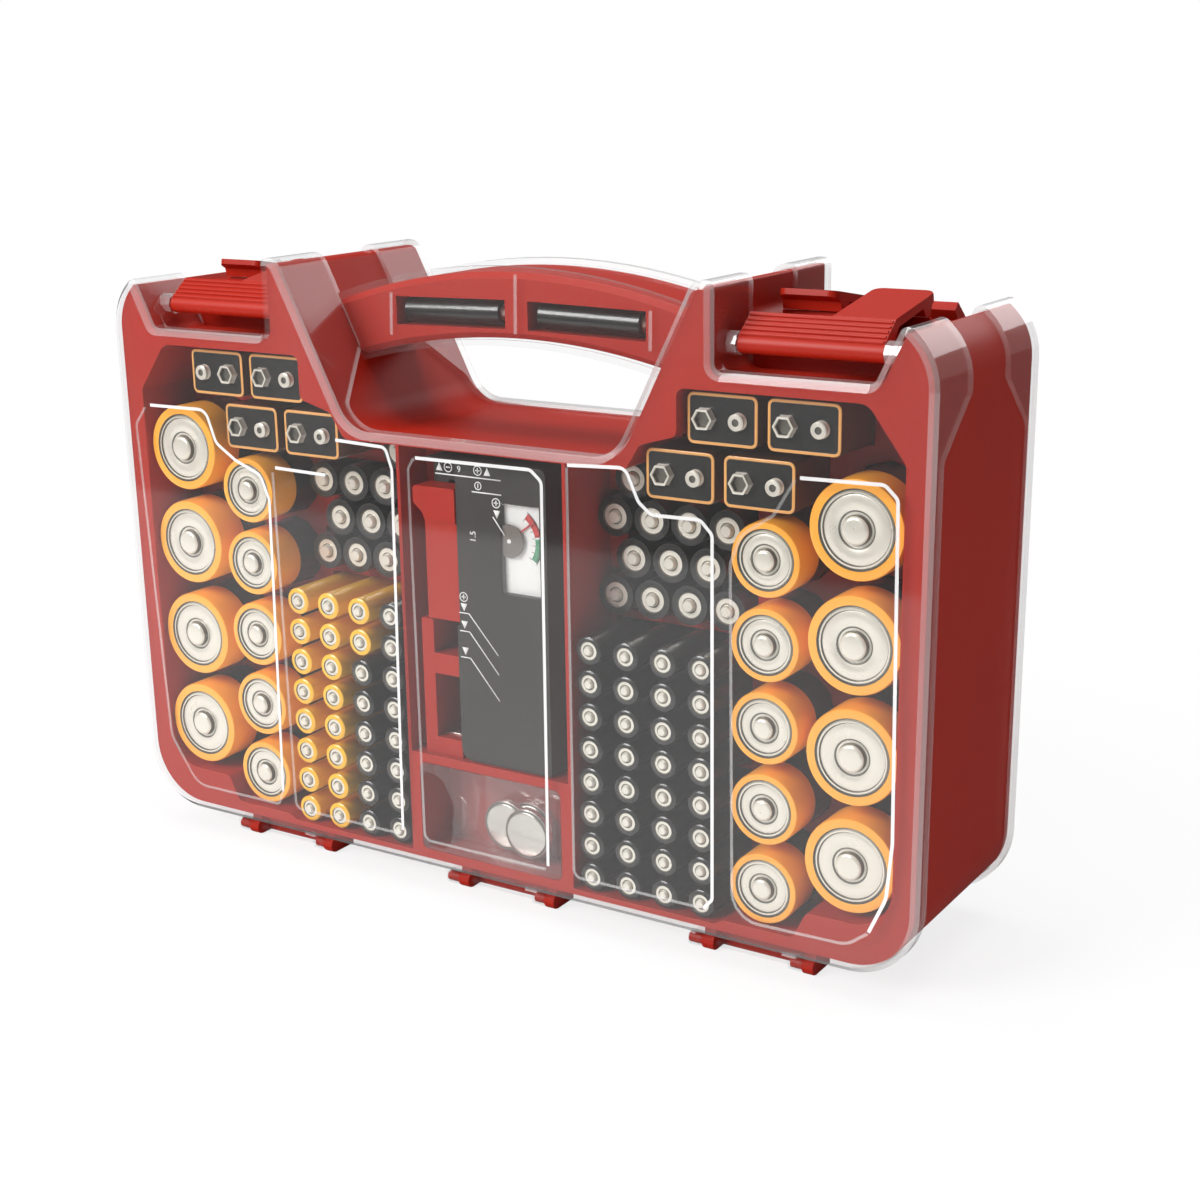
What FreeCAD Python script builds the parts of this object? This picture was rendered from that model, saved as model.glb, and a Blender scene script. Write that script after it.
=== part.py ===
import FreeCAD, Part
import math
import os
import re

# Battery organiser case: a red moulded body open to the front and to the back,
# a clear lid on each side hinged along the bottom, four latches along the top,
# an arched carrying handle, a battery tester, a coin-cell drawer and the cells.
#
# Frame: X to the right, Y to the back, Z up, millimetres. X = 0 and Y = 0 are the
# middle planes of the case and Z = 0 is the flat underside of the hinge brackets.

os.makedirs("parts", exist_ok=True)
doc = FreeCAD.newDocument("battery_case")
V = FreeCAD.Vector

# ---------------------------------------------------------------- sizes
# Each row is a cell of the sheet: alias, plain value or formula, meaning.
SIZES = [
    ("case_w", "353", "width over the lid flanges"),
    ("case_d", "92", "depth over both lid faces"),
    ("flange_z", "9.5", "underside of the lid flanges"),
    ("lid_wall", "1.8", "wall of the clear lids"),
    ("lid_gap", "0.4", "clearance between a lid and the body"),
    ("face_gap", "1.7", "space between a lid face and the body rim"),
    ("skirt_d", "8", "depth of the lid skirt along sides and bottom"),
    ("deep_d", "29.5", "depth of the lid skirt round the shoulders"),
    ("lid_bevel", "2.6", "bevel of the lid face edge"),
    ("corner_r", "26", "bottom corner radius of the outline"),
    ("side_lean", "1.5", "how far the sides lean in towards the bottom"),
    ("horn_z", "220.5", "height where side and slope of the outer shoulder meet"),
    ("horn_r", "24", "outer shoulder radius"),
    ("tip_x", "164.5", "tip of the outer shoulder from the middle"),
    ("tip_z", "231.5", "height of that tip"),
    ("tip_r", "3", "radius of that tip"),
    ("notch_z", "211", "ledge of the lid under the latches"),
    ("notch_in", "97.5", "inner wall of the latch notch"),
    ("notch_out", "154.5", "outer end of the notch ledge"),
    ("hump_z", "240.5", "top of the humps beside the handle"),
    ("hump_x", "89.3", "inner corner of the hump top"),
    ("dip_z", "178.3", "bottom of the dip under the handle"),
    ("dip_x", "58", "foot of the dip walls"),
    ("dip_r", "15", "radius at the foot of the dip walls"),
    ("ramp_z0", "187", "start of the ramp to the deep skirt"),
    ("ramp_z1", "205.5", "end of the ramp to the deep skirt"),
    ("channel_z", "224", "floor of the latch channel across the body"),
    ("catch_h", "2.8", "height of the catch rib in the channel"),
    ("catch_t", "1.4", "thickness of the catch rib"),
    ("handle_top", "236.5", "crown of the handle"),
    ("handle_low", "212.3", "underside of the handle at the middle"),
    ("handle_r_top", "257", "radius of the handle crown"),
    ("handle_r_low", "270", "radius of the handle underside"),
    ("handle_d", "32", "thickness of the handle"),
    ("handle_edge", "2.2", "bevel of the handle edges"),
    ("cover_lap", "2.4", "lap of the handle cover over the handle"),
    ("cell_gap", "0.3", "clearance of a cell in its well"),
    ("deck_y", "-13", "front deck plane"),
    ("rear_deck_y", "30", "rear deck plane"),
    ("cav_x", "165.6", "half width of the cavities"),
    ("cav_low", "13.9", "lowest edge of the cavities"),
    ("cav_step", "26.5", "cavity edge under the largest cells"),
    ("cav_side", "186", "top of the cavity sides"),
    ("cav_top", "204.5", "cavity edge under the notch"),
    ("cav_hump", "82.5", "cavity edge inside the hump"),
    ("cav_mid", "174.4", "cavity edge under the dip"),
    ("bay_x", "36", "half width of the middle bay"),
    ("bay_wall", "1.45", "wall beside the middle bay"),
    ("bay_low", "55", "lower edge of the middle bay"),
    ("bay_y", "-26", "floor of the middle bay"),
    ("d_r", "17.1", "radius of a D cell"),
    ("d_len", "60", "length of a D can"),
    ("d_x", "147.8", "D column"),
    ("d_z", "46.1", "lowest D row"),
    ("d_pitch", "38.9", "row pitch of the D cells"),
    ("d_y", "-40", "front of the D cans"),
    ("c_r", "13.1", "radius of a C cell"),
    ("c_len", "48.7", "length of a C can"),
    ("c_x", "114.8", "C column"),
    ("c_z", "30.3", "lowest C row"),
    ("c_pitch", "29.6", "row pitch of the C cells"),
    ("c_y", "-39.8", "front of the C cans"),
    ("aa_r", "7.25", "radius of an AA cell"),
    ("aa_len", "50", "length of an AA cell"),
    ("aa_x", "45", "first AA column"),
    ("aa_pitch_x", "15.25", "column pitch of the AA cells"),
    ("aa_z", "123.2", "lowest AA row"),
    ("aa_pitch_z", "14.53", "row pitch of the AA cells"),
    ("aa_y", "-23.2", "front of the AA cells"),
    ("aaa_r", "5.25", "radius of an AAA cell"),
    ("aaa_len", "44.5", "length of an AAA cell"),
    ("aaa_x", "45", "first AAA column"),
    ("aaa_pitch_x", "15.25", "column pitch of the AAA cells"),
    ("aaa_z", "19.6", "lowest AAA row"),
    ("aaa_pitch_z", "12.48", "row pitch of the AAA cells"),
    ("aaa_y", "-42.2", "front of the AAA cells"),
    ("nv_w", "26.5", "width of a 9 V block"),
    ("nv_t", "17.5", "thickness of a 9 V block"),
    ("nv_len", "45.5", "length of a 9 V block without terminals"),
    ("nv_y", "-38.5", "front of the 9 V blocks"),
    ("nv_x_top", "97.7", "first 9 V block of the upper row"),
    ("nv_x_low", "81.45", "first 9 V block of the lower row"),
    ("nv_pitch", "30.2", "pitch of the 9 V blocks"),
    ("nv_z_top", "194.3", "upper 9 V row"),
    ("nv_z_low", "173.8", "lower 9 V row"),
    ("nv_stud", "12.7", "spacing of the 9 V terminals"),
    ("nv_stud_h", "3", "height of the 9 V terminals"),
    ("rear_pitch_x", "14.6", "column pitch of the rear AA cells"),
    ("rear_pitch_z", "14.53", "row pitch of the rear AA cells"),
    ("rear_z", "21.5", "lowest rear AA row"),
    ("rear_y", "41.3", "outer end of the rear AA cells"),
    ("tester_w", "56", "width of the tester"),
    ("tester_z0", "55.4", "bottom of the tester"),
    ("tester_z1", "171", "top of the tester"),
    ("tester_y", "-41", "front face of the tester"),
    ("tester_t", "24", "thickness of the tester"),
    ("tester_gap", "0.4", "clearance round the tester"),
    ("slot_x", "-13", "inner edge of the slider track and the cell bay"),
    ("slot_z", "111", "ledge that the slider stops on"),
    ("slot_t", "2", "thickness of that ledge"),
    ("slot_d", "9", "depth of the slider track"),
    ("slider_top", "160", "top of the slider at rest"),
    ("slider_head", "9", "height of the slider head"),
    ("slider_out", "3", "overhang of the slider head"),
    ("slider_play", "0.3", "running clearance of the slider"),
    ("meter_x0", "8", "left edge of the meter"),
    ("meter_x1", "25", "right edge of the meter"),
    ("meter_z0", "123", "lower edge of the meter"),
    ("meter_z1", "157", "upper edge of the meter"),
    ("meter_d", "3", "depth of the meter recess"),
    ("meter_fit", "0.2", "clearance round the meter parts"),
    ("pivot_z", "143", "height of the needle pivot"),
    ("pivot_r", "6.3", "radius of the pivot cover"),
    ("needle_r", "13.2", "length of the needle"),
    ("gate_y", "40", "front of the gate before the middle plane"),
    ("drawer_x", "32.5", "half width of the coin drawer bay"),
    ("drawer_z0", "15.4", "lower edge of the coin drawer bay"),
    ("drawer_z1", "51.4", "upper edge of the coin drawer bay"),
    ("drawer_y", "-24", "back of the coin drawer bay"),
    ("drawer_wall", "1.2", "wall of the coin drawer"),
    ("coin_r", "10", "radius of a coin cell"),
    ("coin_t", "3.2", "thickness of a coin cell"),
    ("hinge_pitch", "108.6", "spacing of the hinges"),
    ("pin_y", "35", "hinge pins before and behind the middle plane"),
    ("ear_r", "3", "nose radius of a hinge ear and height of its pin"),
    ("pin_r", "2", "radius of a hinge pin"),
    ("pin_fit", "0.1", "running clearance on pins"),
    ("latch_y", "32", "latch axes before and behind the middle plane"),
    ("latch_z", "219.3", "height of the latch axes"),
    ("latch_x", "127.5", "middle of a latch"),
    ("latch_w", "52", "length of the latch barrel"),
    ("latch_r", "3.4", "radius of the latch barrel"),
    ("latch_t", "2.6", "thickness of the latch flap"),
    ("tab_w", "22", "width of the latch tab"),
    ("hook_low", "8", "underside of the hook above the latch axis"),
    ("hook_t", "3", "thickness of the hook"),
    ("stub_r", "1.5", "radius of the latch pins"),
    ("half_w", "=case_w / 2", "half width over the lids"),
    ("lid_y", "=case_d / 2", "outer face of the lids"),
    ("lid_in_y", "=lid_y - lid_wall", "inner face of the lids"),
    ("rim_y", "=lid_in_y - face_gap", "rim of the body"),
    ("skirt_y", "=lid_y - skirt_d", "edge of the shallow skirt"),
    ("deep_y", "=lid_y - deep_d", "edge of the deep skirt"),
    ("inset", "=lid_wall + lid_gap", "body surface below the lid surface"),
    ("handle_y", "=handle_d / 2", "half thickness of the handle"),
    ("cover_y", "=handle_y + lid_gap", "inner face of the handle cover"),
    ("block_y", "=deep_y - lid_gap", "half depth of the channel block"),
]

sheet = doc.addObject("Spreadsheet::Sheet", "Sizes")
sheet.Label = "Sizes"
for row, (alias, value, meaning) in enumerate(SIZES, start=1):
    sheet.set(f"A{row}", alias)
    sheet.set(f"B{row}", value)
    sheet.set(f"C{row}", meaning)
    sheet.setAlias(f"B{row}", alias)
doc.recompute()
NAMES = [alias for alias, _, _ in SIZES]
S = {alias: float(sheet.get(alias)) for alias in NAMES}
NAME_PATTERN = re.compile(r"\b(" + "|".join(sorted(NAMES, key=len, reverse=True)) + r")\b")


def formula(text):
    """An expression on sheet aliases, written with the sheet's name before each."""
    return NAME_PATTERN.sub(r"Sizes.\1", text)


def bind(item, **properties):
    """Ties properties of an object to the sheet; __ stands for a dot."""
    for path, text in properties.items():
        item.setExpression(path.replace("__", "."), formula(text))
    return item


# ---------------------------------------------------------------- outlines
def rounded(points, grow=0.0):
    """Edges of a closed anticlockwise polygon of (u, v, radius), moved out by grow.

    Each side is moved along its outward normal and each corner becomes a tangent
    arc; outer corners gain grow on their radius and inner corners lose it.
    """
    count = len(points)
    flat = [V(u, v, 0) for u, v, _ in points]
    sides = []
    for k in range(count):
        start, end = flat[k], flat[(k + 1) % count]
        along = (end - start).normalize()
        shift = V(along.y, -along.x, 0) * grow
        sides.append((start + shift, along))
    corners = []
    for k in range(count):
        (p, d), (q, e) = sides[k - 1], sides[k]
        cross = d.x * e.y - d.y * e.x
        run = ((q.x - p.x) * e.y - (q.y - p.y) * e.x) / cross
        tip = p + d * run
        radius = points[k][2]
        if radius > 0:
            radius = max(radius + grow * math.copysign(1, cross), 0.0)
        turn = math.atan2(abs(cross), d.dot(e))
        reach = radius * math.tan(turn / 2)
        if radius > 0.05:
            bisect = (e - d).normalize()
            middle = tip + bisect * (radius / math.cos(turn / 2) - radius)
            corners.append((tip - d * reach, middle, tip + e * reach))
        else:
            corners.append((tip, None, tip))
    edges = []
    for k in range(count):
        first, middle, last = corners[k]
        if middle is not None:
            edges.append(Part.Arc(first, middle, last))
        edges.append(Part.LineSegment(last, corners[(k + 1) % count][0]))
    return edges


def mirrored(points):
    """The same polygon on the other side of the middle plane, still anticlockwise."""
    return [(-u, v, r) for u, v, r in reversed(points)]


def symmetric(points):
    """A polygon from its right half, listed from the bottom to the top."""
    return points + mirrored(points)


def both_sides(points, grow=0.0):
    """Edges of a loop and of its mirror image."""
    return rounded(points, grow) + rounded(mirrored(points), grow)


def rect(u0, u1, v0, v1, r=0.0):
    """Corner list of a rectangle with corner radius r."""
    return [(u0, v0, r), (u1, v0, r), (u1, v1, r), (u0, v1, r)]


def well(u, v, r, sides):
    """A many-sided ring whose flats lie at distance r from its centre."""
    reach = r / math.cos(math.pi / sides)
    turns = [2 * math.pi * k / sides for k in range(sides)]
    return rounded([(u + reach * math.cos(t), v + reach * math.sin(t), 0) for t in turns])


DIP_SLOPE = (S["hump_x"] - S["dip_x"]) / (S["hump_z"] - S["dip_z"])
DIP_COS = 1 / math.hypot(1, DIP_SLOPE)
HORN_SLOPE = (S["tip_x"] - S["notch_out"]) / (S["tip_z"] - S["notch_z"])
HORN_COS = 1 / math.hypot(1, HORN_SLOPE)


def dip_wall(z, inward=0.0):
    """X of the dip wall at height z, moved into the case by inward."""
    return S["dip_x"] + (z - S["dip_z"]) * DIP_SLOPE + inward / DIP_COS


def horn_wall(z, inward=0.0):
    """X of the outer wall of the notch at height z, moved into the case by inward."""
    return S["notch_out"] + (z - S["notch_z"]) * HORN_SLOPE + inward / HORN_COS


def case_outline(notch):
    """Right half of the outer outline, with the floor of the latch notch at notch."""
    return [
        (S["half_w"] - S["side_lean"], S["flange_z"], S["corner_r"]),
        (S["half_w"], S["horn_z"], S["horn_r"]),
        (S["tip_x"], S["tip_z"], S["tip_r"]),
        (horn_wall(notch), notch, 3),
        (S["notch_in"], notch, 3),
        (S["notch_in"], S["hump_z"], 3),
        (S["hump_x"], S["hump_z"], 6),
        (S["dip_x"], S["dip_z"], S["dip_r"]),
    ]


def arch(grow, inward):
    """The handle band, moved out by grow, with its ends set into the dip walls."""
    top_r = S["handle_r_top"] + grow
    low_r = S["handle_r_low"] - grow
    top_c = S["handle_top"] - S["handle_r_top"]
    low_c = S["handle_low"] - S["handle_r_low"]

    def meet(centre, radius):
        # where the arc about (0, centre) crosses the line x = dip_wall(z, inward)
        z = centre + radius
        for _ in range(30):
            x = dip_wall(z, inward)
            z = centre + math.sqrt(radius * radius - x * x)
        return dip_wall(z, inward), z

    top_x, top_z = meet(top_c, top_r)
    low_x, low_z = meet(low_c, low_r)
    return [
        Part.Arc(V(-low_x, low_z, 0), V(0, low_c + low_r, 0), V(low_x, low_z, 0)),
        Part.LineSegment(V(low_x, low_z, 0), V(top_x, top_z, 0)),
        Part.Arc(V(top_x, top_z, 0), V(0, top_c + top_r, 0), V(-top_x, top_z, 0)),
        Part.LineSegment(V(-top_x, top_z, 0), V(-low_x, low_z, 0)),
    ]


# ---------------------------------------------------------------- feature helpers
PLANES = {"XY": 3, "XZ": 4, "YZ": 5}


def new_body(label):
    """An empty PartDesign body."""
    body = doc.addObject("PartDesign::Body", label)
    body.Label = label
    return body


def sketch(body, label, plane, offset, edges):
    """A sketch on an origin plane of the body, shifted along the plane's normal."""
    item = body.newObject("Sketcher::SketchObject", label)
    item.Label = label
    item.AttachmentSupport = [(body.Origin.OriginFeatures[PLANES[plane]], "")]
    item.MapMode = "FlatFace"
    bind(item, AttachmentOffset__Base__z=offset)
    item.addGeometry(edges, False)
    return item


def slab(body, kind, label, y0, y1, edges):
    """Pad or Pocket of a front-view outline between two Y planes, y0 below y1."""
    profile = sketch(body, label + "_outline", "XZ", f"-({y0})", edges)
    item = body.newObject("PartDesign::" + kind, label)
    item.Label = label
    item.Profile = profile
    bind(item, Length=f"({y1}) - ({y0})")
    item.Reversed = kind == "Pad"
    item.Refine = False
    return item


def across(body, kind, label, x0, x1, edges):
    """Pad or Pocket of a side-view outline between two X planes, x0 below x1."""
    profile = sketch(body, label + "_profile", "YZ", x0, edges)
    item = body.newObject("PartDesign::" + kind, label)
    item.Label = label
    item.Profile = profile
    bind(item, Length=f"({x1}) - ({x0})")
    item.Reversed = kind == "Pocket"
    item.Refine = False
    return item


def box(label, x0, x1, y0, y1, z0, z1):
    """A block between pairs of planes."""
    item = doc.addObject("Part::Box", label)
    item.Label = label
    bind(item, Placement__Base__x=x0, Placement__Base__y=y0, Placement__Base__z=z0)
    bind(item, Length=f"({x1}) - ({x0})", Width=f"({y1}) - ({y0})", Height=f"({z1}) - ({z0})")
    return item


TURN = {
    "X": FreeCAD.Rotation(V(0, 1, 0), 90),
    "Y": FreeCAD.Rotation(V(1, 0, 0), -90),
    "Z": FreeCAD.Rotation(),
}


def rod(label, axis, radius, length, x, y, z):
    """A round bar that starts at (x, y, z) and runs along +axis."""
    item = doc.addObject("Part::Cylinder", label)
    item.Label = label
    item.Placement.Rotation = TURN[axis]
    bind(item, Placement__Base__x=x, Placement__Base__y=y, Placement__Base__z=z)
    bind(item, Radius=radius, Height=length)
    return item


# Flat sides of round pieces that repeat or carry no fit, so the model stays light.
SIDES = {"aaa": 8, "aa": 10, "can": 14, "well": 12, "nub": 8, "coin": 20, "bar": 10}


def prism(label, sides, axis, radius, length, x, y, z):
    """A bar of many flat sides that starts at (x, y, z) and runs along +axis."""
    item = doc.addObject("Part::Prism", label)
    item.Label = label
    item.Polygon = sides
    item.Placement.Rotation = TURN[axis]
    bind(item, Placement__Base__x=x, Placement__Base__y=y, Placement__Base__z=z)
    bind(item, Circumradius=radius, Height=length)
    return item


def fuse(label, items):
    """One solid made of several overlapping ones."""
    item = doc.addObject("Part::MultiFuse", label)
    item.Label = label
    item.Shapes = items
    item.Refine = True
    return item


def cut(label, base, tool):
    """A solid less another."""
    item = doc.addObject("Part::Cut", label)
    item.Label = label
    item.Base = base
    item.Tool = tool
    item.Refine = True
    return item


def common(label, items):
    """What two solids share."""
    item = doc.addObject("Part::MultiCommon", label)
    item.Label = label
    item.Shapes = items
    item.Refine = True
    return item


def group(label, items):
    """Separate solids kept in one node."""
    item = doc.addObject("Part::Compound", label)
    item.Label = label
    item.Links = items
    return item


def half_turn(label, source):
    """The same piece turned half round the vertical axis, for the back of the case."""
    item = doc.addObject("Part::Compound", label)
    item.Label = label
    item.Links = [source]
    item.Placement = FreeCAD.Placement(V(0, 0, 0), FreeCAD.Rotation(V(0, 0, 1), 180))
    return item

# ---------------------------------------------------------------- case body
# Red moulding: outline, channels for the latches, front deck with the wells and rear
# deck with its rows.
INSET = S["inset"]
body = new_body("case_body")
slab(body, "Pad", "shell", "-rim_y", "rim_y",
     rounded(symmetric(case_outline(S["notch_z"])), -INSET))
slab(body, "Pad", "channel_block", "-block_y", "block_y",
     rounded(symmetric(case_outline(S["channel_z"] + INSET)), -INSET))

MIDDLE_X = S["bay_x"] + S["bay_wall"]
cavity = [
    (MIDDLE_X, S["cav_low"], 0),
    (97, S["cav_low"], 3),
    (101, 16, 3),
    (128, 16, 3),
    (133, S["cav_step"], 3),
    (S["cav_x"] - 1, S["cav_step"], 15),
    (S["cav_x"], S["cav_side"], 4),
    (152, S["cav_top"], 6),
    (S["cav_hump"], S["cav_top"], 3),
    (S["cav_hump"], 188, 3),
    (68, 184, 4),
    (62, S["cav_mid"], 4),
    (MIDDLE_X, S["cav_mid"], 0),
]
slab(body, "Pocket", "front_cavity", "-rim_y - 1", "deck_y", both_sides(cavity))
middle = rect(-MIDDLE_X, MIDDLE_X, S["cav_low"], S["cav_mid"])
slab(body, "Pocket", "middle_cavity", "-rim_y - 1", "deck_y", rounded(middle))

# Wells for the D and C cells, seats for the 9 V blocks, rows for the small cells.
D_ROWS = [S["d_z"] + k * S["d_pitch"] for k in range(4)]
C_ROWS = [S["c_z"] + k * S["c_pitch"] for k in range(5)]
d_wells = []
for z in D_ROWS:
    for side in (-1, 1):
        d_wells += well(side * S["d_x"], z, S["d_r"] + S["cell_gap"], SIDES["well"])
slab(body, "Pocket", "d_wells", "d_y - 1", "d_y + d_len + cell_gap", d_wells)
c_wells = []
for z in C_ROWS:
    for side in (-1, 1):
        c_wells += well(side * S["c_x"], z, S["c_r"] + S["cell_gap"], SIDES["well"])
slab(body, "Pocket", "c_wells", "deck_y - 1", "c_y + c_len + cell_gap", c_wells)

NINE_VOLT = [
    (side * (x + k * S["nv_pitch"]), z)
    for x, z in ((S["nv_x_low"], S["nv_z_low"]), (S["nv_x_top"], S["nv_z_top"]))
    for k in range(2)
    for side in (-1, 1)
]
NV_HALF_W = S["nv_w"] / 2 + S["cell_gap"]
NV_HALF_T = S["nv_t"] / 2 + S["cell_gap"]
for row, z in (("low", S["nv_z_low"]), ("top", S["nv_z_top"])):
    seats = []
    for x, seat_z in NINE_VOLT:
        if seat_z == z:
            corners = rect(x - NV_HALF_W, x + NV_HALF_W, z - NV_HALF_T, z + NV_HALF_T)
            seats += rounded(corners)
    slab(body, "Pocket", "nine_volt_seats_" + row, "deck_y - 1",
         "nv_y + nv_len + cell_gap", seats)

# (first column, number of cells) of each AA row, counted in column pitches
AA_ROWS = [(0.0, 4), (0.5, 3), (0.0, 4), (0.5, 1)]
AAA_COLUMNS = 4
AAA_COUNT = 8
AA_REACH = S["aa_r"] + S["cell_gap"]
AAA_REACH = S["aaa_r"] + S["cell_gap"]
for k, (first, count) in enumerate(AA_ROWS):
    z = S["aa_z"] + k * S["aa_pitch_z"]
    x0 = S["aa_x"] + first * S["aa_pitch_x"]
    x1 = x0 + (count - 1) * S["aa_pitch_x"]
    row = rect(x0 - AA_REACH, x1 + AA_REACH, z - AA_REACH, z + AA_REACH)
    slab(body, "Pocket", f"aa_row_{k + 1}", "deck_y - 1", "aa_y + aa_len + cell_gap",
         both_sides(row))
aaa_rows = []
for k in range(AAA_COUNT):
    z = S["aaa_z"] + k * S["aaa_pitch_z"]
    x1 = S["aaa_x"] + (AAA_COLUMNS - 1) * S["aaa_pitch_x"]
    row = rect(S["aaa_x"] - AAA_REACH, x1 + AAA_REACH, z - AAA_REACH, z + AAA_REACH)
    aaa_rows += both_sides(row)
slab(body, "Pocket", "aaa_rows", "deck_y - 1", "aaa_y + aaa_len + cell_gap", aaa_rows)

# Rear deck and its rows: ten rows of five AA cells under a staggered row of four.
REAR_ROWS = [(5, k) for k in range(10)] + [(4, 10)]
rear_cavity = symmetric([
    (S["cav_x"] - 1, S["cav_low"], 17),
    (S["cav_x"], S["cav_top"], 20),
    (S["cav_hump"], S["cav_top"], 6),
    (68, 186, 6),
    (62, S["cav_mid"], 6),
])
slab(body, "Pocket", "rear_cavity", "rear_deck_y", "rim_y + 1", rounded(rear_cavity))


def rear_cells():
    """Centres of the rear AA cells."""
    for count, k in REAR_ROWS:
        z = S["rear_z"] + k * S["rear_pitch_z"]
        for i in range(count):
            yield (i - (count - 1) / 2) * S["rear_pitch_x"], z


for count, k in REAR_ROWS:
    z = S["rear_z"] + k * S["rear_pitch_z"]
    reach = (count - 1) / 2 * S["rear_pitch_x"] + AA_REACH
    slab(body, "Pocket", f"rear_row_{k + 1}", "rear_y - aa_len - cell_gap",
         "rear_deck_y + 1", rounded(rect(-reach, reach, z - AA_REACH, z + AA_REACH)))

# Catch ribs on the channel block, where the latch hooks hold.
slab(body, "Pad", "catch_rib", "-catch_t / 2", "catch_t / 2",
     both_sides(rect(S["latch_x"] - 27, S["latch_x"] + 27, S["channel_z"] - 1,
                     S["channel_z"] + S["catch_h"])))

body.Tip = body.Group[-1]
body.Tip.Refine = True

# ---------------------------------------------------------------- middle bay
# Frame in the middle of the front deck for the tester and, below it, the coin drawer.
# It is one moulding with the deck behind it.
bay = new_body("middle_bay")
slab(bay, "Pad", "bay_block", "-rim_y", "deck_y", rounded(middle))
bay_hole = rect(-S["bay_x"], S["bay_x"], S["bay_low"], S["cav_mid"] + 1)
slab(bay, "Pocket", "bay_hollow", "-rim_y - 1", "bay_y", rounded(bay_hole))
TESTER_HALF = S["tester_w"] / 2
tester_hole = rect(
    -TESTER_HALF - S["tester_gap"], TESTER_HALF + S["tester_gap"],
    S["tester_z0"] - S["tester_gap"], S["tester_z1"] + S["tester_gap"], 1,
)
slab(bay, "Pocket", "tester_recess", "bay_y - 1", "tester_y + tester_t + tester_gap",
     rounded(tester_hole))
drawer_hole = rect(-S["drawer_x"], S["drawer_x"], S["drawer_z0"], S["drawer_z1"], 3)
slab(bay, "Pocket", "drawer_bay", "-rim_y - 1", "drawer_y", rounded(drawer_hole))

# Gate beside the tester that holds the cell under test, and the sill below it.
GATE_X = -TESTER_HALF - 2.5
slab(bay, "Pad", "gate_post", "-gate_y", "bay_y",
     rounded(rect(GATE_X, GATE_X + 5.5, S["bay_low"] - 1,
                  S["slot_z"] - S["slot_t"] - S["tester_gap"])))
slab(bay, "Pad", "gate_bar", "-gate_y", "bay_y",
     rounded(rect(GATE_X, S["slot_x"] - S["tester_gap"], 87.5, 95.5)))
slab(bay, "Pad", "gate_sill", "-gate_y", "tester_y + tester_t + 1",
     rounded(rect(GATE_X, S["slot_x"] - S["tester_gap"], S["bay_low"] - 1, 62)))

bay.Tip = bay.Group[-1]
bay.Tip.Refine = True

# ---------------------------------------------------------------- handle
# The arch is moulded in one with the case and meets the walls of the dip.
handle = new_body("handle_arch")
band = slab(handle, "Pad", "handle_band", "-handle_y", "handle_y", arch(0, INSET))
doc.recompute()
long_edges = []
for number, edge in enumerate(band.Shape.Edges, start=1):
    ends = [abs(vertex.Point.y) for vertex in edge.Vertexes]
    if min(ends) > S["handle_y"] - 0.01 and edge.Length > S["dip_x"]:
        long_edges.append(f"Edge{number}")
bevel = handle.newObject("PartDesign::Chamfer", "handle_bevel")
bevel.Base = (band, long_edges)
bind(bevel, Size="handle_edge")
HANDLE_CELL_X = 30.2
HANDLE_CELL_TILT = 1.2
HANDLE_CELL_Z = 220.6
pocket = [(5, 215.8, 0), (55, 214.8, 0), (55, 225.4, 0), (5, 226.4, 0)]
slab(handle, "Pocket", "handle_wells", "-handle_y - 1", "-3", both_sides(pocket))
handle.Tip = handle.Group[-1]

# ---------------------------------------------------------------- hinge brackets
# Under each rim stand three brackets: two ears with a rounded nose, a pin through
# each ear's nose pointing the same way, and a wall between the ears.
HINGES = {"left": "-hinge_pitch", "middle": "0", "right": "hinge_pitch"}
EARS = {"first": (-19.3, -14.6), "second": (20.8, 25.1)}
BACK_WALL = (-14.6, 20.8)
PIN_LENGTHS = {"first": 5.9, "second": 5.0}
brackets = {}
for side, sign in (("front", "-"), ("back", "")):
    brackets[side] = []
    for place, centre in HINGES.items():
        pieces = []
        for ear, span in EARS.items():
            tag = f"{side}_{place}_{ear}"
            low, high = span if side == "front" else (-span[1], -span[0])
            nose_y = f"{sign}pin_y"
            y0, y1 = (nose_y, "-24") if side == "front" else ("24", nose_y)
            x0, x1 = f"{centre} + {low}", f"{centre} + {high}"
            pieces.append(prism(tag + "_nose", SIDES["well"], "X", "ear_r",
                                f"{high - low}", x0, nose_y, "ear_r"))
            pieces.append(box(tag + "_foot", x0, x1, y0, y1, "0", "2 * ear_r"))
            if side == "front":
                y0 = f"{nose_y} - 0.5"
            else:
                y1 = f"{nose_y} + 0.5"
            pieces.append(box(tag + "_ear", x0, x1, y0, y1, "2 * ear_r",
                              "flange_z + inset"))
            length = PIN_LENGTHS[ear]
            pin_x = low - length if side == "front" else high - 1
            pieces.append(rod(tag + "_pin", "X", "pin_r", f"{length + 1}",
                              f"{centre} + {pin_x}", nose_y, "ear_r"))
        low, high = BACK_WALL if side == "front" else (-BACK_WALL[1], -BACK_WALL[0])
        y0, y1 = ("-31", "-24") if side == "front" else ("24", "31")
        pieces.append(box(f"{side}_{place}_wall", f"{centre} + {low} - 1",
                          f"{centre} + {high} + 1", y0, y1, "0.6", "flange_z + inset"))
        brackets[side].append(fuse(f"bracket_{side}_{place}", pieces))
hinge_brackets_front = group("hinge_brackets_front", brackets["front"])
hinge_brackets_back = group("hinge_brackets_back", brackets["back"])

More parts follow.
